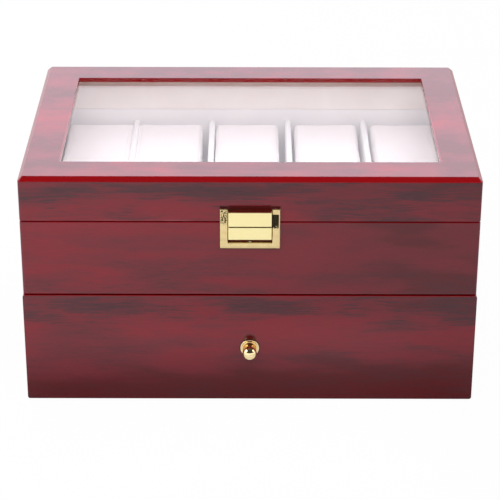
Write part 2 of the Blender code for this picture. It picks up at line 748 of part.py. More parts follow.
def pan(name, place, low, high, look, parent=None):
    """A folded plate: a shallow pan with its face to the front and its back open.

    place is the piece's origin, and low and high are its corners in the box.
    """
    low, high = Vector(low) - Vector(place), Vector(high) - Vector(place)
    bm = bmesh.new()
    add_block(bm, low, high)
    round_over(bm, lambda edge: along(edge, Y_AXIS) or at(edge, Y_AXIS, low.y), PLATE_EASE, EASE_SEGMENTS)
    obj = piece(name, mesh_of(bm, name), place, look, parent)
    wall = Vector((PLATE_WALL, PLATE_WALL, PLATE_WALL))
    hollow_high = high - wall
    hollow_high.y = high.y + OVERRUN
    hollow = blocks(f"{name}_hollow", (low + wall, hollow_high))
    cut(obj, helper(f"{name}_hollow", hollow, place, parent))
    return obj


def build_clasp(metal, lid_axis):
    half = CLASP_WIDTH / 2
    middle = (CLASP_TOP + CLASP_LOW) / 2
    top, low = CLASP_TOP - middle, CLASP_LOW - middle
    bar = low + CLASP_BAR
    outline = [
        (-half, low),
        (half, low),
        (half, top),
        (CLASP_OPENING, top),
        (CLASP_OPENING, bar),
        (-CLASP_OPENING, bar),
        (-CLASP_OPENING, top),
        (-half, top),
    ]
    frame_place = (0, CLASP_PIN_Y, middle)
    frame_mesh = mesh_of(outline_plate("clasp_frame", outline, CLASP_THICKNESS), "clasp_frame")
    frame = piece("clasp_frame", frame_mesh, frame_place, metal)
    ease = frame.modifiers.new("ease", "BEVEL")
    ease.width = CLASP_EASE
    ease.segments = EASE_SEGMENTS
    ease.limit_method = "ANGLE"
    pip_half = Vector((PIP_WIDTH / 2, PIP_THICKNESS / 2, PIP_HEIGHT))
    pip_middle = Vector((0, 0, bar))
    pip = blocks("clasp_pip", (pip_middle - pip_half, pip_middle + pip_half))
    join(frame, helper("clasp_pip", pip, frame_place))

    # The pin's ends sit in blind holes in the legs
    seat = CLASP_OPENING + CLASP_PIN_SEAT
    pin_place = (0, CLASP_PIN_Y, CLASP_PIN_Z)
    bm = bmesh.new()
    add_rod(bm, CLASP_PIN_RADIUS + CLASP_PIN_CLEARANCE, -seat, seat, SMALL_PIN_SIDES)
    holes = helper("clasp_pin_holes", mesh_of(bm, "clasp_pin_holes"), pin_place)
    cut(frame, holes)
    bm = bmesh.new()
    add_rod(bm, CLASP_PIN_RADIUS, -seat + SEAT_GAP, seat - SEAT_GAP, SMALL_PIN_SIDES)
    piece("clasp_pin", mesh_of(bm, "clasp_pin", smooth=True), pin_place, metal)

    lever = pan(
        "clasp_lever",
        pin_place,
        (-PLATE_HALF_WIDTH, PLATE_FRONT, LEVER_LOW),
        (PLATE_HALF_WIDTH, LEVER_BACK, LEVER_TOP),
        metal,
    )
    strike_middle = (STRIKE_LOW + STRIKE_TOP) / 2
    strike = pan(
        "clasp_strike",
        (0, PLATE_FRONT, strike_middle),
        (-PLATE_HALF_WIDTH, PLATE_FRONT, STRIKE_LOW),
        (PLATE_HALF_WIDTH, FRONT_FACE - SEAT_GAP, STRIKE_TOP),
        metal,
        lid_axis,
    )

    # The strike's tongue hangs into the lever, where its nose passes the catch edge
    tongue_front = PLATE_FRONT + TONGUE_SETBACK
    tongue_low = LID_PLANE - TONGUE_DROP
    tongue_place = (0, tongue_front, tongue_low)
    bm = bmesh.new()
    tongue_height = STRIKE_LOW + PLATE_WALL / 2 - tongue_low
    add_block(bm, (-TONGUE_WIDTH / 2, 0, 0), (TONGUE_WIDTH / 2, TONGUE_THICKNESS, tongue_height))
    tongue = helper("strike_tongue", mesh_of(bm, "strike_tongue"), tongue_place, lid_axis)
    bm = bmesh.new()
    add_block(bm, (-TONGUE_WIDTH / 2, -NOSE_LENGTH, 0), (TONGUE_WIDTH / 2, TONGUE_THICKNESS / 2, NOSE_HEIGHT))
    round_over(
        bm,
        lambda edge: along(edge, X_AXIS) and at(edge, Y_AXIS, -NOSE_LENGTH) and at(edge, Z_AXIS, 0),
        NOSE_LEAD,
        1,
    )
    nose = helper("strike_nose", mesh_of(bm, "strike_nose"), tongue_place, lid_axis)
    join(strike, tongue, nose)
    notch_half = TONGUE_WIDTH / 2 + CATCH_CLEARANCE
    notch_front = tongue_front - NOSE_LENGTH - CATCH_CLEARANCE
    catch = box_cutter(
        "lever_catch_notch",
        (-notch_half, notch_front, LEVER_TOP - PLATE_WALL - PLATE_PARTING),
        (notch_half, FRONT_FACE, LEVER_TOP + PLATE_PARTING),
    )
    cut(lever, holes, catch)
    build_spring(metal)


def build_spring(metal):
    """The press spring between the front wall and the lever's lower half, along Y."""
    start = FRONT_FACE - SEAT_GAP - SPRING_WIRE_RADIUS
    end = PLATE_FRONT + PLATE_WALL + SPRING_PRESS_GAP + SPRING_WIRE_RADIUS
    height = CLASP_PIN_Z - SPRING_DROP
    steps = round(SPRING_TURNS * SPRING_TURN_POINTS)
    curve = bpy.data.curves.new("clasp_spring", "CURVE")
    curve.dimensions = "3D"
    curve.bevel_depth = SPRING_WIRE_RADIUS
    curve.bevel_resolution = 1
    curve.use_fill_caps = True
    spline = curve.splines.new("POLY")
    spline.points.add(steps)
    for number, point in enumerate(spline.points):
        share = number / steps
        angle = 2 * math.pi * SPRING_TURNS * share
        side, rise = math.cos(angle), math.sin(angle)
        point.co = (SPRING_RADIUS * side, (end - start) * share, SPRING_RADIUS * rise, 1)
    obj = bpy.data.objects.new("clasp_spring", curve)
    curve.materials.append(metal)
    PIECES.objects.link(obj)
    put(obj, (0, start, height), None)


def drawer_box(wood, raw_wood, velvet, slide):
    """The drawer's boards, with the bottom board let into grooves in all four."""
    front_low, front_high = DRAWER_FRONT_LIFT, DRAWER_FRONT_TOP
    half_width = BODY_WIDTH / 2 + DRAWER_FRONT_OVERHANG
    height = front_high - front_low
    bm = bmesh.new()
    add_block(bm, (-half_width, 0, 0), (half_width, BOARD, height))
    round_over(bm, lambda edge: along(edge, Y_AXIS), DRAWER_FRONT_CORNER, CORNER_SEGMENTS)
    round_over(bm, lambda edge: at(edge, Y_AXIS, 0), EDGE_EASE, EASE_SEGMENTS)
    front = piece("drawer_front", mesh_of(bm, "drawer_front"), (0, FRONT_FACE, front_low), wood, slide)

    side_front = DRAWER_FRONT_BACK + GLUE_LINE
    sides = [
        board(
            f"drawer_{name}_side",
            (min(inner, outer), side_front, DRAWER_LOW),
            (max(inner, outer), DRAWER_END, DRAWER_SIDE_TOP),
            raw_wood,
            slide,
        )
        for name, inner, outer in (
            ("left", -DRAWER_INNER_HALF_WIDTH, -DRAWER_OUTER_HALF_WIDTH),
            ("right", DRAWER_INNER_HALF_WIDTH, DRAWER_OUTER_HALF_WIDTH),
        )
    ]
    back = board(
        "drawer_back",
        (-DRAWER_INNER_HALF_WIDTH + GLUE_LINE, DRAWER_INNER_END, DRAWER_LOW),
        (DRAWER_INNER_HALF_WIDTH - GLUE_LINE, DRAWER_END, DRAWER_SIDE_TOP),
        raw_wood,
        slide,
    )
    reach = GROOVE_DEPTH - SEAT_GAP
    board(
        "drawer_bottom",
        (-DRAWER_INNER_HALF_WIDTH - reach, DRAWER_FRONT_BACK - reach, DRAWER_BOTTOM_LOW),
        (DRAWER_INNER_HALF_WIDTH + reach, DRAWER_INNER_END + reach, DRAWER_BOTTOM_TOP),
        raw_wood,
        slide,
    )
    groove = box_cutter(
        "drawer_bottom_groove",
        (
            -DRAWER_INNER_HALF_WIDTH - GROOVE_DEPTH,
            DRAWER_FRONT_BACK - GROOVE_DEPTH,
            DRAWER_BOTTOM_LOW - GLUE_LINE,
        ),
        (
            DRAWER_INNER_HALF_WIDTH + GROOVE_DEPTH,
            DRAWER_INNER_END + GROOVE_DEPTH,
            DRAWER_BOTTOM_TOP + GLUE_LINE,
        ),
        slide,
    )
    for obj in (front, back, *sides):
        cut(obj, groove)
    lining(
        "drawer_lining",
        (-DRAWER_INNER_HALF_WIDTH + GLUE_LINE, side_front, DRAWER_BOTTOM_TOP + GLUE_LINE),
        (DRAWER_INNER_HALF_WIDTH - GLUE_LINE, DRAWER_INNER_END - GLUE_LINE, DRAWER_SIDE_TOP - LINING_DROP),
        DRAWER_LINING,
        velvet,
        slide,
    )
    return front


def build_drawer_grid(velvet, slide):
    """The drawer's dividers, glued up as one covered grid."""
    half_width = DRAWER_ROOM_HALF_WIDTH - SEAT_GAP
    half_depth = (DRAWER_ROOM_BACK - DRAWER_ROOM_FRONT) / 2 - SEAT_GAP
    place = (0, DRAWER_ROOM_MIDDLE, DRAWER_BED + SEAT_GAP)
    mesh = divider_board("drawer_divider_grid", half_width, DRAWER_DIVIDER, DRAWER_DIVIDER_HEIGHT)
    grid = piece("drawer_divider_grid", mesh, place, velvet, slide)
    mesh = divider_board("drawer_cross_divider", half_depth, DRAWER_DIVIDER, DRAWER_DIVIDER_HEIGHT)
    for column in range(1, COLUMNS):
        x = DRAWER_PITCH * (column - COLUMNS / 2)
        cross = helper(f"drawer_cross_divider_{column}", mesh, (x, *place[1:]), slide)
        cross.rotation_euler.z = math.pi / 2
        join(grid, cross)


def arc(centre, radii, start, end, steps):
    """Points (radius, height) on an ellipse about a centre, from one angle to another."""
    return [
        (
            centre[0] + radii[0] * math.cos(start + (end - start) * step / steps),
            centre[1] + radii[1] * math.sin(start + (end - start) * step / steps),
        )
        for step in range(steps + 1)
    ]


def build_knob(metal, drawer_front, slide):
    """A flared brass knob with a ball end, held by a countersunk screw through the front."""
    height = (DRAWER_FRONT_LIFT + DRAWER_FRONT_TOP) / 2
    bore = SCREW_RADIUS + SCREW_CLEARANCE
    neck_angle = -math.acos(KNOB_NECK_RADIUS / KNOB_BALL_RADIUS)
    ball = (0, KNOB_BALL_HEIGHT)
    front = (KNOB_BALL_RADIUS, KNOB_BALL_RADIUS - KNOB_FRONT_FLATTENING)
    round_ball = (KNOB_BALL_RADIUS, KNOB_BALL_RADIUS)
    flare = (KNOB_BASE_RADIUS - KNOB_NECK_RADIUS, KNOB_FLARE_HEIGHT - KNOB_LIP)
    profile = [(0, KNOB_BALL_HEIGHT + front[1])]
    profile += arc(ball, front, math.pi / 2, 0, ARC_STEPS)[1:]
    profile += arc(ball, round_ball, 0, neck_angle, ARC_STEPS)[1:]
    profile += arc((KNOB_BASE_RADIUS, KNOB_FLARE_HEIGHT), flare, math.pi, 1.5 * math.pi, ARC_STEPS)
    profile += [(KNOB_BASE_RADIUS, 0), (bore, 0), (bore, KNOB_BORE_DEPTH), (0, KNOB_BORE_DEPTH)]
    knob_y = FRONT_FACE - SEAT_GAP
    turned(piece("knob", profile_mesh("knob", profile), (0, knob_y, height), metal, slide), TURNED_STEPS)

    head_y = DRAWER_FRONT_BACK - SCREW_SUNK
    length = head_y - knob_y + KNOB_BORE_DEPTH - SCREW_TIP_GAP
    shank = [
        (0, length),
        (SCREW_RADIUS, length),
        (SCREW_RADIUS, SCREW_HEAD_HEIGHT),
        (SCREW_HEAD_RADIUS, 0),
        (0, 0),
    ]
    mesh = profile_mesh("knob_screw", shank)
    turned(piece("knob_screw", mesh, (0, head_y, height), metal, slide), BARREL_SIDES)
    head = SCREW_HEAD_RADIUS + 2 * SCREW_CLEARANCE
    hole = [
        (0, BOARD + OVERRUN),
        (bore, BOARD + OVERRUN),
        (bore, SCREW_HEAD_HEIGHT + SCREW_CLEARANCE),
        (head, 0),
        (head, -OVERRUN),
        (0, -OVERRUN),
    ]
    mesh = profile_mesh("knob_screw_hole", hole)
    cut(drawer_front, turned(helper("knob_screw_hole", mesh, (0, head_y, height), slide), BARREL_SIDES))


def main():
    wood = finish("lacquered_wood", (0.30, 0.03, 0.04), 0.12)
    raw_wood = finish("bare_board", (0.45, 0.33, 0.22), 0.7)
    velvet = finish("velvet_lining", (0.72, 0.64, 0.60), 0.95)
    cushion_cover = finish("cushion_cover", (0.86, 0.82, 0.80), 0.9)
    glass = finish("window_glass", (0.90, 0.94, 0.93), 0.02)
    brass = finish("gilt_metal", (0.83, 0.66, 0.30), 0.18, 1.0)

    lid_axis = axis_empty("lid_hinge_axis", (0, HINGE_AXIS_Y, HINGE_AXIS_Z))
    slide = axis_empty("drawer_slide", (0, 0, CASE_BOTTOM))

    walls = build_case(wood, raw_wood, velvet)
    build_tray_dividers(velvet)
    cushion = cushion_mesh("cushion")
    build_tray_cushions(cushion, cushion_cover)
    rails = build_lid(wood, glass, velvet, lid_axis)
    build_hinges(brass, walls["back"], rails["back"], lid_axis)
    build_clasp(brass, lid_axis)
    drawer_front = drawer_box(wood, raw_wood, velvet, slide)
    build_drawer_grid(velvet, slide)
    build_drawer_cushions(cushion, cushion_cover, slide)
    build_knob(brass, drawer_front, slide)


clear_scene()
PIECES = new_collection("watch_display_box")
CUTTERS = new_collection("cutters")
main()
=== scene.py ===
"""The looks of a watch display box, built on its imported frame, in metres, +Z up, front to -Y.

Lacquered boards with a chamfered, glazed lid, velvet-covered cells with stuffed cushions, a
velvet-lined drawer below, and a gilt clasp, knob and hinges.
"""

import math
import random

import bmesh
import bpy
from mathutils import Matrix, Vector, noise


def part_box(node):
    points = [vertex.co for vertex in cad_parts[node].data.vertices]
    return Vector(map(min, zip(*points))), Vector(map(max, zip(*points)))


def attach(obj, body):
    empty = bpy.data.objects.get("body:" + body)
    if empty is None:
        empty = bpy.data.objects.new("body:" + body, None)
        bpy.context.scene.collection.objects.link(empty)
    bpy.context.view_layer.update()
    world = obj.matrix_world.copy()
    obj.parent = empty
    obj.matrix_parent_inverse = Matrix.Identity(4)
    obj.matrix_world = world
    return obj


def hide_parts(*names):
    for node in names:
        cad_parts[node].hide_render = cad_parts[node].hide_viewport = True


MM = 0.001

# Sizes of the box that the frame's nodes don't give by their corners
CORNER = 2.0 * MM
EDGE = 0.6 * MM
BOARD = 10.0 * MM
GLUE_LINE = 0.1 * MM
TOP_LIP = 0.2 * MM
WINDOW_EDGE = 0.4 * MM
COLUMNS = 5

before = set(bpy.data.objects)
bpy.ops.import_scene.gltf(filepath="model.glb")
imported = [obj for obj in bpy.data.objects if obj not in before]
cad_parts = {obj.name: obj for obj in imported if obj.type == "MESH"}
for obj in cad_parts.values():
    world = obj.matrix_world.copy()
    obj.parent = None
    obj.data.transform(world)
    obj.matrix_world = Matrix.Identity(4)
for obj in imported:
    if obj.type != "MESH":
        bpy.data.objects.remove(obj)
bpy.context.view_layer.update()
WIDTH = -2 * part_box("case_left_wall")[0][0]
DEPTH = -2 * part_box("tray_front_wall")[0][1]


# Shader maths


class Value:
    """A number in a node tree. Python's operators on it add the Math nodes."""

    def __init__(self, finish, socket):
        self.finish = finish
        self.socket = socket

    def maths(self, operation, *numbers):
        inputs = dict(enumerate(numbers))
        return self.finish.node("ShaderNodeMath", {"operation": operation}, inputs)

    def __add__(self, other):
        return self.maths("ADD", self, other)

    def __radd__(self, other):
        return self.maths("ADD", other, self)

    def __sub__(self, other):
        return self.maths("SUBTRACT", self, other)

    def __rsub__(self, other):
        return self.maths("SUBTRACT", other, self)

    def __mul__(self, other):
        return self.maths("MULTIPLY", self, other)

    def __rmul__(self, other):
        return self.maths("MULTIPLY", other, self)

    def __truediv__(self, other):
        return self.maths("DIVIDE", self, other)

    def __pow__(self, other):
        return self.maths("POWER", self, other)

    def __abs__(self):
        return self.maths("ABSOLUTE", self)

    def least(self, other):
        return self.maths("MINIMUM", self, other)

    def most(self, other):
        return self.maths("MAXIMUM", self, other)

    def sine(self):
        return self.maths("SINE", self)

    def between(self, low, high):
        """0 below low, 1 above high, and a smooth rise from one to the other."""
        return self.finish.node(
            "ShaderNodeMapRange",
            {"interpolation_type": "SMOOTHSTEP"},
            {"Value": self, "From Min": low, "From Max": high},
        )


class Finish:
    """A material, or the world, with one method that adds any node."""

    def __init__(self, owner):
        self.owner = owner
        owner.use_nodes = True
        self.tree = owner.node_tree
        self.tree.nodes.clear()

    def node(self, kind, settings=None, inputs=None, output=0):
        """Adds a node, with numbers, colours or other nodes' values at its inputs."""
        made = self.tree.nodes.new(kind)
        for key, setting in (settings or {}).items():
            setattr(made, key, setting)
        for key, value in (inputs or {}).items():
            socket = made.inputs[key]
            if isinstance(value, Value):
                self.tree.links.new(value.socket, socket)
            else:
                socket.default_value = (*value, 1) if socket.type == "RGBA" else value
        return Value(self, made.outputs[output])

    def place(self):
        """The surface's own coordinates in millimetres, which move with the piece."""
        there = self.node("ShaderNodeTexCoord", output="Object")
        scaled = self.node("ShaderNodeVectorMath", {"operation": "SCALE"}, {0: there, "Scale": 1 / MM})
        return self.split(scaled)

    def split(self, vector):
        return [self.node("ShaderNodeSeparateXYZ", None, {0: vector}, axis) for axis in "XYZ"]

    def cloud(self, point, scale=1.0, detail=2.0, roughness=0.5):
        """Noise at a point, which is given by its three coordinates."""
        joined = self.node("ShaderNodeCombineXYZ", None, dict(zip("XYZ", point)))
        sockets = {"Vector": joined, "Scale": scale, "Detail": detail, "Roughness": roughness}
        return self.node("ShaderNodeTexNoise", None, sockets)

    def blend(self, share, first, second):
        sockets = {"Factor": share, 6: first, 7: second}
        return self.node("ShaderNodeMix", {"data_type": "RGBA"}, sockets, 2)

    def bump(self, height, distance, strength=1.0):
        sockets = {"Height": height, "Distance": distance, "Strength": strength}
        return self.node("ShaderNodeBump", None, sockets)

    def light_path(self, ray):
        return self.node("ShaderNodeLightPath", output=ray)

    def end(self, shader):
        """Ends the tree on a shader and gives the material or world back."""
        sort = "World" if isinstance(self.owner, bpy.types.World) else "Material"
        made = self.tree.nodes.new(f"ShaderNodeOutput{sort}")
        self.tree.links.new(shader.socket, made.inputs["Surface"])
        return self.owner

    def surface(self, sockets):
        """Ends the tree on a Principled shader with these sockets."""
        return self.end(self.node("ShaderNodeBsdfPrincipled", None, sockets))


# The stained wood's colours under the lacquer, with a dark one that also paints shade and a pale pink
# one that paints highlights
RED = (0.215, 0.0060, 0.0120)
RED_DEEP = (0.180, 0.0055, 0.0110)
BROWN = (0.135, 0.0095, 0.0150)
BROWN_DEEP = (0.112, 0.0088, 0.0135)
SMOKE = (0.058, 0.0122, 0.0155)
VEIN = (0.046, 0.0100, 0.0125)
# Dark staining, also used as painted shade above and below the clasp and round the knob
DARK_STAIN_AND_SHADE = (0.080, 0.0040, 0.0050)
BARE_RED = (0.245, 0.0028, 0.0044)
# Pale pink that paints highlights along lacquered edges
PAINTED_HIGHLIGHT_PINK = (0.42, 0.10, 0.12)


# Near-black for tarnishing on the gilt metal and for painted shade and dark reflections on it, unless a
# piece has its own
TARNISH_AND_SHADE_BLACK = (0.011, 0.010, 0.006)


def new_finish(name):
    return Finish(bpy.data.materials.new(name))


# Materials


def fibres_of(finish, grain, across):
    """The place by axis name, and the coordinate into the board, across from both axes."""
    place = dict(zip("xyz", finish.place()))
    (into,) = set("xyz") - {grain, across}
    return place, place[into]


def lacquered(
    name, grain, across, knots=(), stain_and_shade_at=None, edges=None, gloss=None, length=1, contrast=None, tint=1
):
    """Clear gloss lacquer over red-stained wood with soft grey-brown grain.

    grain and across name the axes along and across the fibres, knots are ovals (along, across,
    half length, half width) of denser grain, in millimetres, smoky gives the share of brown
    staining at a place, above 1 that of a dusky colour, which is dark staining in some places and
    painted shade in others, edges the shares of bare red and of a pale painted highlight or None,
    gloss the share of the lacquer that is left, and contrast the strength of the grain.
    length stretches the figure, and tint lightens the stained colours.
    """

    def stained(colour):
        return tuple(part * tint for part in colour)

    finish = new_finish(name)
    place, depth = fibres_of(finish, grain, across)
    run, rise = place[grain] / length, place[across] / length

    wander = finish.cloud((run / 45, rise / 18, depth / 90))
    bent = rise + 6.0 * (wander - 0.5)
    figure = finish.cloud((run / 52, bent / 11, depth / 60))
    streaks = finish.cloud((run / 20, bent / 0.9, depth / 40), detail=3, roughness=0.62)
    lines = finish.cloud((run / 10, bent / 0.45, depth / 30), detail=3, roughness=0.6)
    fibres = finish.cloud((run / 9, bent / 0.3, depth / 20))
    drift = finish.cloud((run / 80, rise / 30, depth / 90), detail=1)

    density = 0.45 * (figure - 0.5) + 0.3 * (drift - 0.5)
    for along, over, half_length, half_width in knots:
        from_knot = ((place[grain] - along) / half_length) ** 2
        from_knot = from_knot + ((place[across] - over) / half_width) ** 2
        density = density + 0.1 * (1 - from_knot).most(0.0)
    soft = (streaks + density).between(0.43, 0.70)
    veins = (lines + 0.5 * density).between(0.5, 0.7) * (streaks + density).between(0.44, 0.62)
    stain_and_shade = (figure + 0.6 * (drift - 0.5)).between(0.32, 0.72) * 0.6
    # The given function adds browner staining, and past 1 the dusky colour, which paints shade where it
    # puts it
    if stain_and_shade_at is not None:
        stain_and_shade = stain_and_shade + stain_and_shade_at(finish, place)

    red = finish.blend(fibres.between(0.3, 0.75), stained(RED_DEEP), stained(RED))
    brown = finish.blend(fibres.between(0.3, 0.75), stained(BROWN_DEEP), stained(BROWN))
    colour = finish.blend(stain_and_shade.least(1.0).most(0.0), red, brown)
    colour = finish.blend(stain_and_shade.between(0.9, 1.7), colour, stained(DARK_STAIN_AND_SHADE))
    strength = 1 if contrast is None else contrast(place)
    colour = finish.blend(soft * (0.5 * strength), colour, stained(SMOKE))
    colour = finish.blend(veins * (0.7 * strength), colour, stained(VEIN))
    if edges is not None:
        bare, painted_highlight = edges(finish, place)
        colour = finish.blend(bare, colour, BARE_RED)
        # The second share paints a pale highlight
        if painted_highlight is not None:
            colour = finish.blend(painted_highlight, colour, PAINTED_HIGHLIGHT_PINK)
    return finish.surface(
        {
            "Base Color": colour,
            "Roughness": 0.55,
            "Specular IOR Level": 0.0,
            "Coat Weight": 1.0 if gloss is None else gloss(place),
            "Coat Roughness": 0.03,
            "Coat IOR": 1.5,
        }
    )


def bare_board(name, grain, across):
    """Unlacquered board inside the box: dry reddish brown with open grain."""
    finish = new_finish(name)
    place, depth = fibres_of(finish, grain, across)
    run, rise = place[grain], place[across]
    bent = rise + 3.0 * (finish.cloud((run / 45, rise / 20, depth / 20)) - 0.5)
    rings = finish.cloud((run / 60, bent / 3.2, depth / 8), detail=4)
    pores = finish.cloud((run / 9, bent / 0.4, depth / 1.5), detail=3)
    colour = finish.blend(rings.between(0.3, 0.7), (0.21, 0.078, 0.044), (0.33, 0.145, 0.085))
    colour = finish.blend(pores.between(0.6, 0.74) * 0.6, colour, (0.07, 0.026, 0.017))
    return finish.surface(
        {
            "Base Color": colour,
            "Roughness": 0.62 + 0.2 * pores,
            "Normal": finish.bump(pores + rings, 0.12 * MM),
        }
    )


def velvet(name, shade, light, nap=1.0):
    """Short-pile velvet: fine fibres, brushed patches and a pale sheen."""
    finish = new_finish(name)
    x, y, z = finish.place()
    point = x, y, z
    brushed = finish.cloud(point, 0.045, 3)
    flecks = finish.cloud(point, 1.4, 3, 0.6)
    pile = finish.cloud(point, 4.5, 2)
    tone = (0.85 * brushed + 0.15 * flecks).between(0.32, 0.68)
    colour = finish.blend(tone, shade, light)
    return finish.surface(
        {
            "Base Color": colour,
            "Roughness": 0.92 - 0.1 * brushed,
            "Specular IOR Level": 0.25,
            "Sheen Weight": 0.6,
            "Sheen Roughness": 0.4,
            "Sheen Tint": (1.0, 0.95, 0.93),
            "Normal": finish.bump(0.6 * pile + 0.4 * flecks, 0.04 * MM * nap),
        }
    )


def cushion_cover(name, shade, light, half_width, seam_inset):
    """The cushions' soft cover, with a sewn seam near each side."""
    finish = new_finish(name)
    x, y, z = finish.place()
    point = x, y, z
    brushed = finish.cloud(point, 0.06, 3)
    suede = finish.cloud(point, 2.2, 4, 0.65)
    tone = (0.85 * brushed + 0.15 * suede).between(0.3, 0.7)
    colour = finish.blend(tone, shade, light)
    from_seam = abs(abs(x) - (half_width - seam_inset) / MM)
    around = ((y + z) * (2 * math.pi / 2.6)).sine()
    thread = (1 - from_seam.between(0.12, 0.30)) * around.between(-0.35, 0.1)
    groove = 1 - from_seam.between(0.10, 0.45)
    # Painted shade in the seam's groove
    colour = finish.blend(groove * 0.25, colour, tuple(0.55 * part for part in shade))
    colour = finish.blend(thread * 0.8, colour, (0.86, 0.80, 0.76))
    return finish.surface(
        {
            "Base Color": colour,
            "Roughness": 0.88,
            "Specular IOR Level": 0.3,
            "Sheen Weight": 0.6,
            "Sheen Roughness": 0.4,
            "Sheen Tint": (1.0, 0.97, 0.96),
            "Normal": finish.bump(0.2 * suede - 0.8 * groove + 0.5 * thread, 0.12 * MM),
        }
    )


def gilt(name, tone, deep, rough, specks=0.0, tarnish_and_shade_at=None, ripple=0.02, tarnish_and_shade_colour=TARNISH_AND_SHADE_BLACK):
    """Polished gold-coloured plating, with a little cloudiness and fine wear.

    tarnish gives the share at a place of the colour tarnished, which is tarnishing on some pieces
    and paints shade and dark reflections on others, and ripple is the depth of the bumps.
    """
    finish = new_finish(name)
    x, y, z = finish.place()
    point = x, y, z
    clouds = finish.cloud(point, 0.22, 3)
    wear = finish.cloud(point, 1.6, 4, 0.65)
    colour = finish.blend(clouds.between(0.3, 0.75) * 0.5, tone, deep)
    if specks:
        colour = finish.blend(wear.between(0.58, 0.68) * specks, colour, (0.20, 0.13, 0.035))
    if tarnish_and_shade_at is not None:
        colour = finish.blend(tarnish_and_shade_at(finish, x, y, z), colour, tarnish_and_shade_colour)
    return finish.surface(
        {
            "Base Color": colour,
            "Metallic": 1.0,
            "Roughness": rough + 0.10 * wear.between(0.45, 0.8),
            "Normal": finish.bump(wear, ripple * MM),
        }
    )


def spring_steel():
    finish = new_finish("spring_steel")
    x, y, z = finish.place()
    drawn = finish.cloud((x, y, z), 2.5, 3)
    colour = finish.blend(drawn, (0.36, 0.36, 0.37), (0.58, 0.58, 0.60))
    return finish.surface({"Base Color": colour, "Metallic": 1.0, "Roughness": 0.28 + 0.1 * drawn})


def window_glass():
    """Clear display glass, which lets daylight through to the tray, with a trace of wiping."""
    finish = new_finish("window_glass")
    x, y, z = finish.place()
    wiped = finish.cloud((x / 30, y / 9, z), 1.0, 3)
    shader = finish.node(
        "ShaderNodeBsdfPrincipled",
        None,
        {
            "Base Color": (0.985, 0.995, 0.99),
            "Roughness": 0.004 + 0.006 * wiped,
            "IOR": 1.27,
            "Transmission Weight": 1.0,
        },
    )
    clear = finish.node("ShaderNodeBsdfTransparent", None, {"Color": (0.97, 0.98, 0.975)})
    passing = finish.light_path("Is Shadow Ray").most(finish.light_path("Is Diffuse Ray"))
    return finish.end(finish.node("ShaderNodeMixShader", None, {0: passing, 1: shader, 2: clear}))


# Mesh helpers


def add_block(bm, low, high):
    low, high = Vector(low), Vector(high)
    place = Matrix.Translation((low + high) / 2) @ Matrix.Diagonal((*(high - low), 1))
    bmesh.ops.create_cube(bm, size=1, matrix=place)


def block_bmesh(low, high):
    bm = bmesh.new()
    add_block(bm, low, high)
    return bm


def mesh_of(bm, name):
    """A mesh of a bmesh, which is freed."""
    mesh = bpy.data.meshes.new(name)
    bm.to_mesh(mesh)
    bm.free()
    return mesh


def on(edge, axis, value):
    return all(abs(vertex.co[axis] - value) < 1e-6 for vertex in edge.verts)


def runs(edge, axis):
    span = edge.verts[1].co - edge.verts[0].co
    return abs(span[axis]) > span.length - 1e-6


def round_edges(bm, chosen, radius, steps):
    edges = [edge for edge in bm.edges if chosen(edge)]
    bmesh.ops.bevel(
        bm,
        geom=edges,
        offset=radius,
        offset_type="OFFSET",
        segments=steps,
        profile=0.5,
        affect="EDGES",
        clamp_overlap=True,
    )


def finished(name, bm, body, finish, stands_for, sharp):
    """Ends a bmesh as a piece, as dressed() does a mesh."""
    bmesh.ops.recalc_face_normals(bm, faces=bm.faces)
    return dressed(name, mesh_of(bm, name), body, finish, stands_for, sharp=sharp)


def dressed(name, mesh, body, finish, stands_for=(), place=None, sharp=0):
    """Makes a mesh a piece that rides on a body, and hides the CAD nodes it stands for.

    Edges above the angle sharp, in degrees, stay sharp, and with 0 none does.
    """
    if not mesh.materials:
        mesh.materials.append(finish)
    mesh.shade_smooth()
    if sharp:
        mesh.set_sharp_from_angle(angle=math.radians(sharp))
    piece = bpy.data.objects.new(name, mesh)
    bpy.context.scene.collection.objects.link(piece)
    if place is not None:
        piece.location = place
    if sharp:
        piece.modifiers.new("flat faces stay flat", "WEIGHTED_NORMAL").keep_sharp = True
    bpy.context.view_layer.update()
    if stands_for:
        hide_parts(*stands_for)
    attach(piece, body)
    return piece


def loop_of(half_x, half_y, z, radius, steps=6, centre=(0.0, 0.0)):
    """Points of a rectangle with round corners, anticlockwise from the right."""
    radius = max(radius, 1e-5)
    points = []
    for quarter in range(4):
        corner_x = (half_x - radius) * (1 if quarter in (0, 3) else -1)
        corner_y = (half_y - radius) * (1 if quarter in (0, 1) else -1)
        for step in range(steps + 1):
            angle = math.pi / 2 * (quarter + step / steps)
            x = centre[0] + corner_x + radius * math.cos(angle)
            y = centre[1] + corner_y + radius * math.sin(angle)
            points.append((x, y, z))
    return points


def skin(loops, closed=False, bm=None):
    """Joins loops of as many points each, and closes them to a ring or caps both ends."""
    bm = bm or bmesh.new()
    rows = [[bm.verts.new(point) for point in loop] for loop in loops]
    pairs = list(zip(rows, rows[1:]))
    if closed:
        pairs.append((rows[-1], rows[0]))
    for row, following in pairs:
        for number in range(len(row)):
            after = (number + 1) % len(row)
            bm.faces.new((row[number], row[after], following[after], following[number]))
    if not closed:
        bm.faces.new(list(reversed(rows[0])))
        bm.faces.new(rows[-1])
    return bm


def ring(sides, radius, point):
    """Points of a circle, each of which point makes from its two offsets."""
    turns = [2 * math.pi * side / sides for side in range(sides)]
    return [point(radius * math.cos(turn), radius * math.sin(turn)) for turn in turns]


def turned(profile, sides, origin):
    """A lathe-turned bmesh about the -Y axis from (distance out, radius) pairs."""
    x, y, z = origin
    nearly_none = 1e-6
    return skin(
        [
            ring(sides, max(radius, nearly_none), lambda a, b: (x + a, y - out, z + b))
            for out, radius in profile
        ]
    )


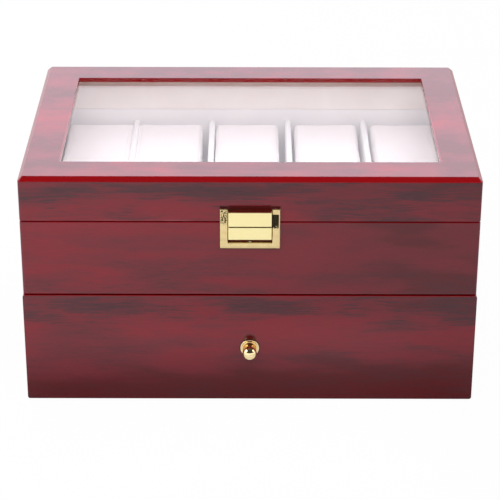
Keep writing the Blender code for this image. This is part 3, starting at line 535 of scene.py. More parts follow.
def settle(obj):
    """Replaces an object's mesh by what its modifiers make of it."""
    graph = bpy.context.evaluated_depsgraph_get()
    mesh = bpy.data.meshes.new_from_object(obj.evaluated_get(graph))
    obj.modifiers.clear()
    obj.data = mesh
    return obj


def loose(name, bm):
    """A helper object from a bmesh, for cutting or shaping, which is removed afterwards."""
    bmesh.ops.recalc_face_normals(bm, faces=bm.faces)
    obj = bpy.data.objects.new(name, mesh_of(bm, name))
    bpy.context.scene.collection.objects.link(obj)
    return obj


def shaped(bm, *cutters):
    """The mesh of bm after each cutter bmesh is taken out of it."""
    body = loose("blank", bm)
    tools = [loose("cutter", cutter) for cutter in cutters]
    for tool in tools:
        boolean = body.modifiers.new("cut", "BOOLEAN")
        boolean.operation = "DIFFERENCE"
        boolean.solver = "EXACT"
        boolean.object = tool
    settle(body)
    mesh = body.data
    for obj in (body, *tools):
        bpy.data.objects.remove(obj, do_unlink=True)
    return mesh


# Boards and walls


def mitred_board(side, low, high, ease_high):
    """A wall of the box as a bmesh, mitred at its ends, in its place."""
    length, across = (DEPTH, WIDTH) if side in ("left", "right") else (WIDTH, DEPTH)
    reach = across / 2
    bm = block_bmesh((-length / 2, -reach, low), (length / 2, -reach + BOARD, high))
    round_edges(bm, lambda e: runs(e, 2) and on(e, 1, -reach), CORNER, 8)

    def rim(edge):
        outer = on(edge, 2, low) or (ease_high and on(edge, 2, high))
        return outer and not on(edge, 1, -reach + BOARD)

    round_edges(bm, rim, EDGE, 4)
    for end in (-1, 1):
        bmesh.ops.bisect_plane(
            bm,
            geom=[*bm.verts, *bm.edges, *bm.faces],
            plane_co=(end * (length / 2 - GLUE_LINE / math.sqrt(2)), -reach, 0),
            plane_no=(end, 1, 0),
            clear_outer=True,
        )
        bmesh.ops.holes_fill(bm, edges=[edge for edge in bm.edges if edge.is_boundary])
    turn = {"front": 0, "right": 1, "back": 2, "left": 3}[side]
    spin = Matrix.Rotation(turn * math.pi / 2, 3, "Z")
    bmesh.ops.rotate(bm, cent=(0, 0, 0), matrix=spin, verts=bm.verts)
    return bm


def hinge_mortises(body):
    """What is cut from the back wall, or from the lid's back rail, for the hinges' leaves."""
    seam_z = (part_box("case_back_wall")[1][2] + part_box("lid_back_rail")[0][2]) / 2
    leaf_depth = 1.2 * MM
    below, above = (leaf_depth, BOARD) if body == "case" else (BOARD, leaf_depth)
    clear = Vector((GLUE_LINE, GLUE_LINE, GLUE_LINE))
    mortises = []
    for hinge in ("left", "right"):
        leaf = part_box(f"hinge_{hinge}_{body}_leaf")
        low, high = Vector(leaf[0]) - clear, Vector(leaf[1]) + clear
        low.z, high.z = seam_z - below, seam_z + above
        mortises.append(block_bmesh(low, high))
    return mortises


def build_walls():
    """The case's walls and the lid's rails, mitred, each with the grain along it."""
    seam = (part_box("lid_front_rail")[0][2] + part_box("tray_front_wall")[1][2]) / 2 / MM
    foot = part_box("tray_front_wall")[0][2] / MM

    def lid_edges(finish, place):
        thin = finish.cloud((place["x"] / 40, place["z"] / 9, 0.0))
        height = place["z"] - seam
        # Bare red on the lid's lower edge, and a pale painted highlight in a broken line just above it,
        # mostly at the left
        painted_highlight = height.between(0.6, 0.9) * (1 - height.between(1.2, 1.6)) * thin.between(0.42, 0.62)
        return 1 - height.between(0.35, 0.6), painted_highlight * (1 - place["x"].between(-70, 60)) * 0.5

    def wall_edges(finish, place):
        bare = (place["z"] - seam).between(-0.55, -0.3) + (1 - (place["z"] - foot).between(0.1, 0.4))
        return bare, None

    def lid_stain_and_shade(finish, place):
        """Browner at the top and to the right, and dusky where the clasp keeps the light off."""
        x, z = place["x"], place["z"]
        shade = (1 - abs(x).between(18.5, 20)) * z.between(136, 137) * (1 - z.between(138.6, 139.4))
        return 0.08 + 0.55 * z.between(134, 149) + 0.5 * x.between(-30, 120) + 1.6 * shade

    def tray_stain_and_shade(finish, place):
        """Browner towards the lower right, and a painted shadow under the clasp."""
        x, z = place["x"], place["z"]
        shade = (1 - abs(x).between(18.5, 20.5)) * (1 - z.between(110.0, 110.8)) * z.between(108.5, 110)
        return 0.02 + 0.9 * (1.2 * x - z).between(-190, 20) + 1.2 * shade

    front_grain = {
        "lid": lacquered(
            "lacquer_lid_rail",
            "x",
            "z",
            knots=((-62, 151, 26, 4), (110, 147, 30, 6), (-110, 147, 26, 4), (-20, 149, 30, 4)),
            stain_and_shade_at=lid_stain_and_shade,
            contrast=lambda p: 1.2 + 0.7 * p["z"].between(135, 146) + 0.7 * p["x"].between(20, 110),
            edges=lid_edges,
        ),
        "tray": lacquered(
            "lacquer_tray_wall",
            "x",
            "z",
            knots=((-95, 86, 30, 5), (60, 90, 60, 5)),
            stain_and_shade_at=tray_stain_and_shade,
            contrast=lambda p: 0.4 + 0.4 * (1 - p["z"].between(86, 112)),
            edges=wall_edges,
        ),
    }
    side_grain = lacquered("lacquer_side", "y", "z", knots=((20, 60, 60, 6), (-30, 110, 50, 5)))
    back_grain = lacquered("lacquer_back", "x", "z", knots=((-40, 100, 70, 6), (60, 50, 60, 5)))
    plans = (
        ("case_left_wall", "left", "case", side_grain),
        ("case_right_wall", "right", "case", side_grain),
        ("case_back_wall", "back", "case", back_grain),
        ("tray_front_wall", "front", "case", front_grain["tray"]),
        ("lid_front_rail", "front", "lid", front_grain["lid"]),
        ("lid_left_rail", "left", "lid", side_grain),
        ("lid_right_rail", "right", "lid", side_grain),
        ("lid_back_rail", "back", "lid", back_grain),
    )
    for node, side, body, finish in plans:
        low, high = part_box(node)
        name, slot = f"{node}_lacquered", "lacquered_wood"
        bm = mitred_board(side, low[2], high[2], ease_high=body == "case")
        if side == "back":
            mesh = shaped(bm, *hinge_mortises(body))
            dressed(name, mesh, body, finish, (node,), sharp=35)
        else:
            finished(name, bm, body, finish, (node,), sharp=35)


def build_top():
    """The lid's top board: a chamfered picture frame round the window."""
    low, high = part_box("lid_top_board")
    half_x, half_y = high[0], high[1]
    bottom, top = low[2], high[2]
    chamfer = top - bottom - TOP_LIP
    soft = 0.22 * MM
    win_x, win_low, win_high = 120.5 * MM, -75.2 * MM, 75.5 * MM
    win_mid, win_y = (win_low + win_high) / 2, (win_high - win_low) / 2

    def outer(inset, z, radius):
        return loop_of(half_x - inset, half_y - inset, z, radius)

    def inner(grow, z, radius):
        return loop_of(win_x + grow, win_y + grow, z, radius, centre=(0, win_mid))

    loops = [
        outer(0, bottom, CORNER),
        outer(0, bottom + TOP_LIP, CORNER),
        outer(soft * 0.5, bottom + TOP_LIP + soft * 0.5, CORNER * 0.9),
        outer(chamfer - soft, top - soft * 0.9, 1.3 * MM),
        outer(chamfer - soft * 0.25, top - soft * 0.27, 1.2 * MM),
        outer(chamfer + soft * 0.6, top, 1.1 * MM),
        inner(2.0 * WINDOW_EDGE, top, 0.9 * MM),
        inner(WINDOW_EDGE, top, 0.6 * MM),
        inner(0.12 * MM, top - 0.12 * MM, 0.5 * MM),
        inner(0, top - WINDOW_EDGE, 0.5 * MM),
        inner(0, bottom, 0.5 * MM),
    ]

    def bare_red(finish, place):
        """Bare red on the chamfer and the window's edge, and a pale painted highlight along the
        window's side edges from the front to the middle.
        """
        bare = 1 - place["z"].between(157.55, 157.9)
        window_highlight = abs(place["x"]).between(120.3, 120.6) * (1 - abs(place["x"]).between(121.1, 121.5))
        along = place["y"].between(-75.6, -75.2) * (1 - place["y"].between(-10, 40))
        return bare, window_highlight * along * 0.7

    def rosy_rims(finish, place):
        """Brown along the front and back rims, and rosy across each side rim, with soft mottling."""
        x, y = place["x"], place["y"]
        mottle = finish.cloud((x / 24, y / 18, 3.0)) - 0.5
        side = abs(x).between(112, 124)
        along = 1.0 * abs(y + 5).between(4, 34) - 0.12 + 0.3 * x.between(-50, 50)
        return (0.55 + 0.45 * y.between(60, 90)) * (1 - side) + side * along + 2.6 * mottle

    finish = lacquered(
        "lacquer_top",
        "x",
        "y",
        stain_and_shade_at=rosy_rims,
        edges=bare_red,
        length=2.2,
        contrast=lambda p: 0.8 - 0.7 * abs(p["x"]).between(112, 124),
        tint=1.75,
    )
    bm = skin(loops, closed=True)
    finished("lid_top_lacquered", bm, "lid", finish, ("lid_top_board",), sharp=60)


def build_drawer_front():
    low, high = (list(corner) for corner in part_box("drawer_front"))
    low[2] = 0.2 * MM
    knob_low, knob_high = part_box("knob")
    knob_z = (knob_low[2] + knob_high[2]) / 2 / MM
    bm = block_bmesh(low, high)
    round_edges(bm, lambda e: runs(e, 1), 1.5 * MM, 6)
    round_edges(bm, lambda e: on(e, 1, low[1]), 0.35 * MM, 4)

    def top_edge(finish, place):
        bare = place["z"].between(high[2] / MM - 0.35, high[2] / MM - 0.1)
        return bare, None

    def bands(finish, place):
        """Brown along the top, rosy in the middle, darker again towards the foot, with painted shade in
        a ring round the knob and a painted dark reflection of the knob above it.
        """
        x, z = place["x"], place["z"]
        top, foot = z.between(56, 70), 1 - z.between(8, 42)
        from_knob = (x**2 + (z - knob_z) ** 2) ** 0.5
        above_knob = (1 - x**2 / 20 - ((z - knob_z - 6.5) / 4) ** 2).between(0, 0.5)
        shade = (1 - from_knob.between(6.2, 7.4)) + above_knob
        return 0.05 + 0.5 * top + 1.3 * foot + 0.4 * x.between(-60, 120) + 1.6 * shade.least(1.0)

    def foot_gloss(place):
        """Less coat towards the foot, which dims the reflection there."""
        return 1 - 0.5 * (1 - place["z"].between(4, 46))

    finish = lacquered(
        "lacquer_drawer_front",
        "x",
        "z",
        knots=((-105, 68, 26, 5), (-52, 67, 24, 6), (10, 68, 40, 7), (75, 66, 24, 6), (-80, 34, 30, 8)),
        stain_and_shade_at=bands,
        edges=top_edge,
        gloss=foot_gloss,
        contrast=lambda p: 0.6 + 1.2 * p["z"].between(50, 64) + 0.5 * p["x"].between(0, 90),
    )
    name, slot = "drawer_front_lacquered", "lacquered_wood"
    finished(name, bm, "drawer", finish, ("drawer_front",), sharp=35)


# Linings and cells


def ring_lining(name, node, body, finish, floor, rise=0.0, drop=0.0):
    """A velvet-covered card liner with rounded rims: a ring, or with a floor a tray.

    Its cover stands rise above the card and hangs drop below it.
    """
    low, high = (Vector(corner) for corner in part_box(node))
    high.z += rise
    low.z -= drop
    half_x, half_y = (high[0] - low[0]) / 2, (high[1] - low[1]) / 2
    centre = ((high[0] + low[0]) / 2, (high[1] + low[1]) / 2)
    thick = 1.2 * MM if body != "drawer" else 1.0 * MM
    turn = 0.35 * MM

    def loop(inset, z):
        return loop_of(half_x - inset, half_y - inset, z, 0.4 * MM + 0.4 * inset, centre=centre)

    rim = [loop(0, high[2] - turn), loop(turn * 0.3, high[2] - turn * 0.3), loop(turn, high[2])]
    rim += [loop(thick - turn, high[2]), loop(thick - turn * 0.3, high[2] - turn * 0.3)]
    rim += [loop(thick, high[2] - turn)]
    if floor:
        bed, sweep, soft = low[2] + thick, 0.8 * MM, 0.24 * MM
        loops = [loop(0, low[2]), *rim, loop(thick, bed + sweep)]
        loops += [loop(thick + soft, bed + soft), loop(thick + sweep, bed)]
        bm = skin(loops)
    else:
        foot = [loop(thick, low[2] + turn), loop(thick - turn * 0.3, low[2] + turn * 0.3)]
        foot += [loop(thick - turn, low[2]), loop(turn, low[2]), loop(0, low[2] + turn)]
        bm = skin([*rim, *foot], closed=True)
    return finished(name, bm, body, finish, (node,), sharp=60)


def bar(bm, axis, start, end, centre, half_thick, low, high):
    """Adds a covered divider with a round top along an axis (0 or 1)."""
    steps = 6
    section = [(-half_thick, low), (half_thick, low)]
    for step in range(steps + 1):
        angle = math.pi * step / steps
        rise = high - half_thick * 0.8
        section.append((half_thick * math.cos(angle), rise + half_thick * 0.8 * math.sin(angle)))

    def at(run, point):
        across, z = point
        return (run, centre + across, z) if axis == 0 else (centre + across, run, z)

    skin([[at(run, point) for point in section] for run in (start, end)], bm=bm)


def build_dividers(finish):
    """The tray's dividers, whose padded tops stand a little above the cushions."""
    padding = 5.5 * MM
    low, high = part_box("tray_long_divider")
    half = (high[1] - low[1]) / 2
    bm = bmesh.new()
    bar(bm, 0, low[0], high[0], 0, half, low[2], high[2] + padding)
    finished("tray_long_divider_covered", bm, "case", finish, ("tray_long_divider",), sharp=60)
    for number in range(1, COLUMNS):
        node = f"tray_cross_divider_{number}"
        low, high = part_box(node)
        bm = bmesh.new()
        middle = (low[0] + high[0]) / 2
        for start, end in ((low[1], -half), (half, high[1])):
            bar(bm, 1, start, end, middle, (high[0] - low[0]) / 2, low[2], high[2] + padding)
        finished(f"{node}_covered", bm, "case", finish, (node,), sharp=60)


def build_drawer_inside(finish):
    ring_lining("drawer_lining_velvet", "drawer_lining", "drawer", finish, True)
    low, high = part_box("drawer_divider_grid")
    middle_y = (low[1] + high[1]) / 2
    half, pitch = 1.5 * MM, 50.96 * MM
    bm = bmesh.new()
    bar(bm, 0, low[0], high[0], middle_y, half, low[2], high[2])
    for number in range(1, COLUMNS):
        x = pitch * (number - COLUMNS / 2)
        bar(bm, 1, low[1], middle_y - half, x, half, low[2], high[2])
        bar(bm, 1, middle_y + half, high[1], x, half, low[2], high[2])
    stands_for = ("drawer_divider_grid",)
    finished("drawer_dividers_covered", bm, "drawer", finish, stands_for, sharp=60)


# Cushions


def cushion_blank(half, rounding, crown, draw_in, seed):
    """A crowned block with round ends as a bmesh, about its own middle."""
    bm = bmesh.new()
    bmesh.ops.create_cube(bm, size=2)
    bmesh.ops.subdivide_edges(bm, edges=bm.edges, cuts=15, use_grid_fill=True)
    shift = Vector((seed * 7.3, seed * 3.1, seed * 5.7))
    for vertex in bm.verts:
        unit = vertex.co.copy()
        point = Vector(unit[axis] * half[axis] for axis in range(3))
        flat = [half[axis] - rounding[axis] for axis in range(3)]
        core = Vector(max(-flat[axis], min(flat[axis], point[axis])) for axis in range(3))
        away = Vector((point[axis] - core[axis]) / rounding[axis] for axis in range(3))
        if away.length > 0:
            away = away.normalized()
        point = core + Vector(away[axis] * rounding[axis] for axis in range(3))
        side = 1 - abs(unit.x) ** 2.4
        end = 1 - abs(unit.y) ** 3
        if unit.z > 0:
            point.z -= crown * (1 - side * end)
        point.x *= 1 - draw_in * (1 - unit.y**2) * (1 - abs(unit.z)) / half[0]
        swell = noise.noise(point / (16 * MM) + shift)
        point += point.normalized() * swell * 0.35 * MM
        vertex.co = point
    return bm


def stuffed(bm, voxel, pressure, reach):
    """Blows a closed form up as cloth, holds each point within reach, and gives the mesh."""
    body = loose("cushion_blank", bm)
    remesh = body.modifiers.new("even mesh", "REMESH")
    remesh.mode = "VOXEL"
    remesh.voxel_size = voxel
    settle(body)
    start = [vertex.co.copy() for vertex in body.data.vertices]
    cloth = body.modifiers.new("cloth", "CLOTH")
    cover = cloth.settings
    cover.quality = 6
    cover.mass = 0.2
    cover.tension_stiffness = cover.compression_stiffness = 12
    cover.bending_stiffness = 1.5
    cover.use_pressure = True
    cover.uniform_pressure_force = pressure
    cover.effector_weights.gravity = 0
    frames = 20
    cloth.point_cache.frame_start, cloth.point_cache.frame_end = 1, frames
    for number in range(1, frames + 1):
        bpy.context.scene.frame_set(number)
    settle(body)
    for vertex, origin in zip(body.data.vertices, start):
        moved = vertex.co - origin
        if moved.length > reach:
            vertex.co = origin + moved.normalized() * reach
    bpy.context.scene.frame_set(1)
    mesh = body.data
    bpy.data.objects.remove(body, do_unlink=True)
    return mesh


def sewn(mesh, half, inset, depth, width):
    """Draws the cover in along a seam near each side, and fits it to its box again."""
    bm = bmesh.new()
    bm.from_mesh(mesh)
    bm.normal_update()
    for vertex in bm.verts:
        off = abs(abs(vertex.co.x) - (half[0] - inset))
        if off < width:
            vertex.co -= vertex.normal * depth * (1 - (off / width) ** 2)
    low = Vector(min(v.co[axis] for v in bm.verts) for axis in range(3))
    high = Vector(max(v.co[axis] for v in bm.verts) for axis in range(3))
    for vertex in bm.verts:
        for axis in range(3):
            share = (vertex.co[axis] - low[axis]) / (high[axis] - low[axis])
            vertex.co[axis] = -half[axis] + 2 * half[axis] * share
    bm.to_mesh(mesh)
    bm.free()
    return mesh


def build_cushions():
    """Twenty watch cushions from three stuffed forms, five to a row in the tray and drawer."""
    low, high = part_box("tray_cushion_back_1")
    half = [(high[axis] - low[axis]) / 2 for axis in range(3)]
    half[0] += 0.5 * MM
    inset = 1.8 * MM
    shade, light = (0.94, 0.875, 0.855), (0.96, 0.90, 0.88)
    cream = cushion_cover("cushion_cover_tray", shade, light, half[0], inset)
    forms = []
    for number in range(3):
        blank = cushion_blank(
            tuple(value - 0.5 * MM for value in half),
            (0.7 * MM, 0.9 * MM, 0.9 * MM),
            0.15 * MM,
            0.3 * MM,
            number + 1,
        )
        mesh = stuffed(blank, 1.4 * MM, 3.0, 0.45 * MM)
        mesh = sewn(mesh, half, inset, 0.25 * MM, 1.0 * MM)
        mesh.name = f"cushion_form_{number + 1}"
        mesh.materials.clear()
        mesh.materials.append(cream)
        forms.append(mesh)
    picks = random.Random(11)
    wider = {"tray_cushion_back_1": (0, 2.0 * MM), "tray_cushion_back_2": (2.0 * MM, 0)}
    for level, body in (("tray", "case"), ("drawer", "drawer")):
        for row in ("back", "front"):
            for column in range(1, COLUMNS + 1):
                node = f"{level}_cushion_{row}_{column}"
                low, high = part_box(node)
                centre = (Vector(low) + Vector(high)) / 2
                mesh = forms[picks.randrange(3)]
                left, right = wider.get(node, (0, 0))
                if left or right:
                    mesh = mesh.copy()
                    for vertex in mesh.vertices:
                        share = (vertex.co.x + half[0]) / (2 * half[0])
                        vertex.co.x += right * share - left * (1 - share)
                piece = dressed(f"{node}_stuffed", mesh, body, cream, (node,), centre)
                round_off = piece.modifiers.new("round off", "SUBSURF")
                round_off.levels = round_off.render_levels = 1


# Fittings


def build_knob(finish):
    low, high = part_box("knob")
    face = high[1]
    z = (low[2] + high[2]) / 2
    base, lip, neck = 6.05 * MM, 0.6 * MM, 2.6 * MM
    flare, ball, ball_out, flat_ball = 3.2 * MM, 4.65 * MM, 7.4 * MM, 4.2 * MM
    profile = [(0, base - 0.15 * MM), (0.15 * MM, base), (lip, base)]
    profile += [(lip + 0.12 * MM, base - 0.12 * MM)]
    rim = base - 0.9 * MM
    profile += [(lip + 0.25 * MM, base - 0.35 * MM), (lip + 0.25 * MM, rim + 0.15 * MM)]
    profile += [(lip + 0.12 * MM, rim)]
    for step in range(1, 17):
        angle = math.pi / 2 * step / 16
        out = lip + 0.12 * MM + (flare - lip) * (1 - math.cos(angle))
        profile.append((out, neck + (rim - neck) * (1 - math.sin(angle))))
    start = math.asin(neck / ball)
    for step in range(33):
        angle = start + (math.pi - start) * step / 32
        depth = ball if math.cos(angle) > 0 else flat_ball
        profile.append((ball_out - depth * math.cos(angle), ball * math.sin(angle)))
    bm = turned(profile, 64, (0, face, z))
    finished("knob_turned", bm, "drawer", finish, ("knob",), sharp=50)


def build_clasp(plate_finish, frame_finish):
    """The U frame, the strike on the lid and the lever, as folded and cast plates."""
    low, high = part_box("clasp_frame")
    leg, bar_high = 5.2 * MM, 4.2 * MM
    front, back = low[1], high[1]
    opening = high[0] - leg
    outline = [
        (low[0], low[2]),
        (high[0], low[2]),
        (high[0], high[2]),
        (opening, high[2]),
        (opening, low[2] + bar_high),
        (-opening, low[2] + bar_high),
        (-opening, high[2]),
        (low[0], high[2]),
    ]
    bm = bmesh.new()
    face = bm.faces.new([bm.verts.new((x, back, z)) for x, z in outline])
    raised = bmesh.ops.extrude_face_region(bm, geom=[face])["geom"]
    moved = [part for part in raised if isinstance(part, bmesh.types.BMVert)]
    bmesh.ops.translate(bm, vec=(0, front - back, 0), verts=moved)
    bmesh.ops.recalc_face_normals(bm, faces=bm.faces)
    round_edges(bm, lambda e: on(e, 1, front), 0.7 * MM, 5)
    round_edges(bm, lambda e: runs(e, 1) and abs(e.verts[0].co.x) > opening + 1e-4, 0.5 * MM, 3)
    add_block(
        bm,
        (-0.9 * MM, front + 0.7 * MM, low[2] + bar_high - 0.9 * MM),
        (0.9 * MM, front + 1.9 * MM, low[2] + bar_high + 0.9 * MM),
    )
    finished("clasp_frame_cast", bm, "case", frame_finish, ("clasp_frame",), sharp=40)

    wall, strike_low = 0.8 * MM, 127.3 * MM
    tongue_half, tongue_low, tongue_high, tongue_in = 6.0 * MM, 124.6 * MM, 127.7 * MM, 2.6 * MM
    for node, body in (("clasp_strike", "lid"), ("clasp_lever", "lever")):
        low, high = (Vector(corner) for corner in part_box(node))
        if node == "clasp_strike":
            low.z = strike_low
        bm = block_bmesh(low, high)
        face_y = low.y
        round_edges(bm, lambda e: runs(e, 1) or on(e, 1, face_y), 0.35 * MM, 4)
        inside = low + Vector((wall, wall, wall))
        cutters = [block_bmesh(inside, (high.x - wall, high.y + wall, high.z - wall))]
        if node == "clasp_lever":
            # The notch that the strike's tongue passes through
            half, front = tongue_half + 0.3 * MM, low.y + 1.6 * MM
            notch_high = (half, high.y + wall, high.z + wall)
            cutters.append(block_bmesh((-half, front, high.z - 2 * wall), notch_high))
        mesh = shaped(bm, *cutters)
        if node == "clasp_strike":
            merged = bmesh.new()
            merged.from_mesh(mesh)
            tongue_y = low.y + tongue_in
            tongue_end = (tongue_half, tongue_y + wall, tongue_high)
            add_block(merged, (-tongue_half, tongue_y, tongue_low), tongue_end)
            nose_end = (tongue_half, tongue_y + 0.4 * MM, tongue_low + 1.0 * MM)
            add_block(merged, (-tongue_half, tongue_y - 0.7 * MM, tongue_low), nose_end)
            merged.to_mesh(mesh)
            merged.free()
        dressed(f"{node}_plate", mesh, body, plate_finish, (node,), sharp=40)


def build_hinges(finish):
    """Round knuckles, thin leaves and their countersunk screws behind the back wall."""
    for side in ("left", "right"):
        pin_low, pin_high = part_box(f"hinge_{side}_pin")
        axis_y, axis_z = (pin_low[1] + pin_high[1]) / 2, (pin_low[2] + pin_high[2]) / 2
        middle = (pin_low[0] + pin_high[0]) / 2
        length, barrel, leaf, gap = 30 * MM, 1.9 * MM, 0.9 * MM, 0.2 * MM
        pitch = length / 5
        for body, own in (("case", (0, 2, 4)), ("lid", (1, 3))):
            node = f"hinge_{side}_{body}_leaf"
            low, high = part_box(node)
            bm = bmesh.new()
            sign = -1 if body == "case" else 1
            plate = sorted((axis_z + sign * gap, axis_z + sign * (gap + leaf)))
            add_block(bm, (low[0], low[1], plate[0]), (high[0], axis_y - barrel * 0.8, plate[1]))
            for number in own:
                start = middle - length / 2 + pitch * number + 0.1 * MM
                skin(
                    [
                        ring(32, radius, lambda a, b: (x, axis_y + a, axis_z + b))
                        for x, radius in (
                            (start, barrel - 0.15 * MM),
                            (start + 0.15 * MM, barrel),
                            (start + pitch - 0.35 * MM, barrel),
                            (start + pitch - 0.2 * MM, barrel - 0.15 * MM),
                        )
                    ],
                    bm=bm,
                )
                web_low, web_high = start + 0.1 * MM, start + pitch - 0.3 * MM
                web_end = (web_high, axis_y - 0.6 * MM, plate[1])
                add_block(bm, (web_low, axis_y - barrel, plate[0]), web_end)
            finished(f"{node}_rolled", bm, body, finish, (node,), sharp=40)
            for number, offset in enumerate((-10.5, 0, 10.5), 1):
                name, x = f"{node}_screw_{number}", middle + offset * MM
                screw(name, x, low[1], axis_z, gap, sign, body, finish)


def screw(name, x, inner_y, axis_z, gap, sign, body, finish):
    """A countersunk, slotted screw head, flush with its leaf's open face."""
    radius, y = 1.55 * MM, inner_y + 3.6 * MM
    top = axis_z + sign * (gap - 0.05 * MM)
    blank = skin(
        [
            ring(28, radius * share, lambda a, b: (x + a, y + b, top + sign * depth * MM))
            for depth, share in ((0.85, 0.45), (0.12, 1.0), (0.03, 0.97), (0.0, 0.88))
        ]
    )
    half, wide, deep = radius * 1.2, 0.22 * MM, 0.3 * MM
    slot = block_bmesh((x - half, y - wide, top - deep), (x + half, y + wide, top + deep))
    angle = 0.5 + 37 * x + 11 * sign
    bmesh.ops.rotate(slot, cent=(x, y, top), matrix=Matrix.Rotation(angle, 3, "Z"), verts=slot.verts)
    dressed(name, shaped(blank, slot), body, finish, sharp=40)


def dress_nodes():
    """Materials for the CAD nodes that stay as they are."""
    along_x = bare_board("bare_board_across", "x", "y")
    along_x_up = bare_board("bare_board_upright", "x", "z")
    along_y_up = bare_board("bare_board_side", "y", "z")
    brass = gilt("gilt_pins", (0.86, 0.66, 0.30), (0.62, 0.44, 0.17), 0.2)
    steel = spring_steel()
    glass = window_glass()
    plan = {
        "case_bottom_board": along_x,
        "tray_floor_board": along_x,
        "drawer_bottom": along_x,
        "drawer_left_side": along_y_up,
        "drawer_right_side": along_y_up,
        "drawer_back": along_x_up,
        "lid_glass": glass,
        "hinge_left_pin": brass,
        "hinge_right_pin": brass,
        "clasp_pin": brass,
        "clasp_spring": steel,
        "knob_screw": steel,
    }
    for node, finish in plan.items():
        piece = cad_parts[node]
        piece.data.materials.clear()
        piece.data.materials.append(finish)


# Setting


def build_studio():
    """A white floor, bright walls and ceiling, a window light behind and a dark room in front.

    Polished surfaces mirror the dark room and two round lamps in it, and matt ones get a fill light
    from high in front.
    """
    world = bpy.data.worlds.new("studio")
    bpy.context.scene.world = world
    finish = Finish(world)
    direction = finish.node("ShaderNodeTexCoord", output="Generated")
    x, y, z = finish.split(direction)
    glossy = finish.light_path("Is Glossy Ray")

    def softbox(from_x, from_y, from_z, size):
        """A round lamp in a direction, of which size is the cosine of its edge."""
        return (x * from_x + y * from_y + z * from_z).between(size - 0.015, size)

    above = z.between(0.62, 0.76)
    lower = 0.645 + 0.115 * z.between(0.35, 0.40) + 0.24 * z.between(0.43, 0.465)
    behind = y.between(0.25, 0.5) * (1 - abs(x).between(0.62, 0.8)) * (1 - z.between(0.66, 0.76))
    behind = behind * z.between(0.06, 0.26)
    front = (1 - abs(x).between(0.80, 0.92)) * (1 - y.between(0.0, 0.16))
    room = 1 - y.between(0.02, 0.16)
    dark = 0.3 * front * z.between(0.02, 0.12) * (1 - glossy) + room * z.between(0.22, 0.34) * glossy
    lamps = 3.0 * softbox(-0.81, -0.20, 0.55, 0.955) + 2.0 * softbox(0.80, -0.15, 0.58, 0.975)
    level = 0.05 + (1.15 + 0.25 * above) * (1 - dark) + (0.9 + 0.6 * glossy) * behind * lower
    fill = 1.85 * softbox(0.0, -0.55, 0.835, 0.9)
    level = level * (1 - 0.18 * (1 - glossy)) + glossy * lamps + (1 - glossy) * fill
    seen = finish.light_path("Is Camera Ray").most(finish.light_path("Is Transmission Ray"))
    strength = level * (1 - seen) + seen
    colour = finish.blend(glossy, (1.0, 0.962, 1.035), (0.99, 0.955, 1.075))
    shader = finish.node("ShaderNodeBackground", None, {"Color": colour, "Strength": strength})
    white = finish.node("ShaderNodeBackground", None, {"Color": (1, 1, 1), "Strength": 1.0})
    finish.end(finish.node("ShaderNodeMixShader", None, {0: seen, 1: shader, 2: white}))

    bm = bmesh.new()
    bmesh.ops.create_grid(bm, x_segments=8, y_segments=8, size=6.0)
    mesh = mesh_of(bm, "floor")
    floor = bpy.data.objects.new("floor", mesh)
    bpy.context.scene.collection.objects.link(floor)
    finish = new_finish("floor_white")
    x, y, z = finish.place()
    paper = finish.cloud((x, y, z), 0.004, 2)
    # Painted shade and light on the floor, seen mostly in reflections: its colour darkens towards the
    # right, and a painted pool of light brightens it round the box
    falloff = (0.85 * x.between(-260, 260) + 0.3 * (paper - 0.5)).least(1.0).most(0.0)
    colour = finish.blend(falloff, (0.84, 0.84, 0.83), (0.58, 0.58, 0.575))
    near = (1 - abs(x).between(60, 150)) * (1 - abs(y).between(180, 240))
    colour = finish.blend(near * 0.8, colour, (0.96, 0.96, 0.955))
    sheet = finish.node("ShaderNodeBsdfDiffuse", None, {"Color": colour})
    glow = finish.node("ShaderNodeEmission", None, {"Color": (1, 1, 1), "Strength": 1.0})
    share = 0.97 * finish.light_path("Is Camera Ray")
    shader = finish.node("ShaderNodeMixShader", None, {0: share, 1: sheet, 2: glow})
    mesh.materials.append(finish.end(shader))


def build_camera():
    """The camera that was fitted to the box's corners in the photograph."""
    sensor, focal_pixels, picture_pixels = 36.0, 1889.4, 500
    data = bpy.data.cameras.new("photo_view")
    data.sensor_width = sensor
    data.lens = sensor * focal_pixels / picture_pixels
    data.clip_start = 0.05
    data.clip_end = 50
    camera = bpy.data.objects.new("photo_view", data)
    bpy.context.scene.collection.objects.link(camera)
    pitch, yaw, roll = (math.radians(value) for value in (25.5855, 0.048, 0.144))
    camera.matrix_world = (
        Matrix.Translation((-0.000872, -1.178735, 0.624327))
        @ Matrix.Rotation(-yaw, 4, "Z")
        @ Matrix.Rotation(math.pi / 2 - pitch, 4, "X")
        @ Matrix.Rotation(roll, 4, "Z")
    )
    bpy.context.scene.camera = camera


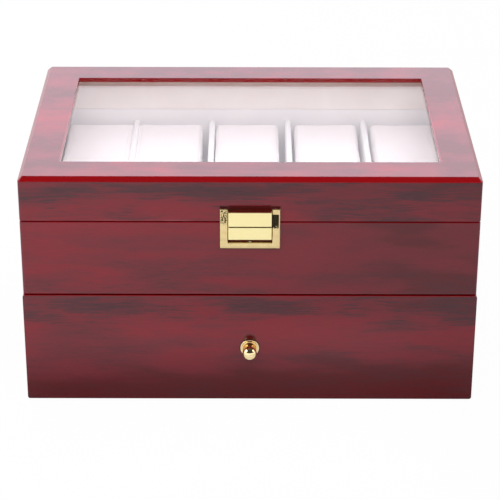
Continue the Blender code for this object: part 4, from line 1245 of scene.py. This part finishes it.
def main():
    scene = bpy.context.scene
    scene.view_settings.view_transform = "Standard"
    build_camera()
    build_studio()
    build_walls()
    build_top()
    build_drawer_front()
    beige = velvet("velvet_lining", (0.86, 0.75, 0.68), (0.91, 0.825, 0.76), 0.2)
    cell = velvet("velvet_cells", (0.84, 0.80, 0.78), (0.87, 0.835, 0.815), 0.4)
    ring_lining("lid_lining_velvet", "lid_lining", "lid", beige, False, drop=0.95 * MM)
    ring_lining("tray_lining_velvet", "tray_lining", "case", cell, True, rise=0.55 * MM)
    white = velvet("velvet_dividers", (0.91, 0.895, 0.885), (0.94, 0.925, 0.915))
    build_dividers(white)
    build_drawer_inside(cell)
    build_cushions()

    def leg_tarnish_and_shade(finish, x, y, z):
        """Tarnishing speckles near the top of the left leg, a black patch on the right one that paints
        a dark reflection, painted shade on the legs' inner sides beside the plates, and darker flecks
        along the foot of the bar.
        """
        grit = finish.cloud((x, z, 0.0), 1.0, 2)
        fine = finish.cloud((x, z, 5.0), 2.0, 2)
        left = (1 - x.between(-14.6, -14.2)) * x.between(-18.7, -18.2) * z.between(127.0, 129.5)
        left = left * (1 - z.between(136.8, 137.6)) * grit.between(0.47, 0.52)
        # Painted dark reflection on the right leg
        right = x.between(13.9, 14.3) * (1 - x.between(17.9, 18.3)) * (1 - z.between(134.2, 134.7))
        right = right * (z + 8 * (grit - 0.5)).between(124.2, 126.0) * (0.96 + 0.3 * (fine - 0.45))
        # Painted shade on the legs' inner sides, in the gap beside the plates
        gap_shade = (1 - abs(x).between(14.0, 14.4)) * z.between(114.7, 115.2)
        gap_shade = gap_shade * (0.35 + 0.6 * fine.between(0.4, 0.6))
        foot = (1 - z.between(111.8, 112.6)) * (0.06 + 0.16 * fine)
        return (left + right + gap_shade + foot).least(1.0)

    knob_low, knob_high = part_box("knob")
    knob_z, knob_face = (knob_low[2] + knob_high[2]) / 2 / MM, knob_high[1] / MM

    def warm_middle(finish, x, y, z):
        """Golden brown in the hollow of the knob's base: a painted reflection of the ball and neck."""
        radius = (x**2 + (z - knob_z) ** 2) ** 0.5
        return (1 - radius.between(4.0, 5.0)) * (y - knob_face).between(-3.6, -3.0)

    bright = gilt("gilt_plates", (1.0, 0.91, 0.45), (0.985, 0.87, 0.40), 0.12)
    tone, deep = (0.87, 0.715, 0.355), (0.68, 0.53, 0.22)
    cast = gilt("gilt_frame", tone, deep, 0.22, 0.4, leg_tarnish_and_shade, 0.08)
    tone, deep, brown = (1.0, 0.86, 0.46), (0.98, 0.80, 0.36), (0.62, 0.31, 0.07)
    knob = gilt("gilt_knob", tone, deep, 0.05, tarnish_and_shade_at=warm_middle, tarnish_and_shade_colour=brown)
    build_clasp(bright, cast)
    build_knob(knob)
    build_hinges(gilt("gilt_hinges", (0.86, 0.68, 0.32), (0.66, 0.48, 0.18), 0.2, specks=0.5))
    dress_nodes()


main()
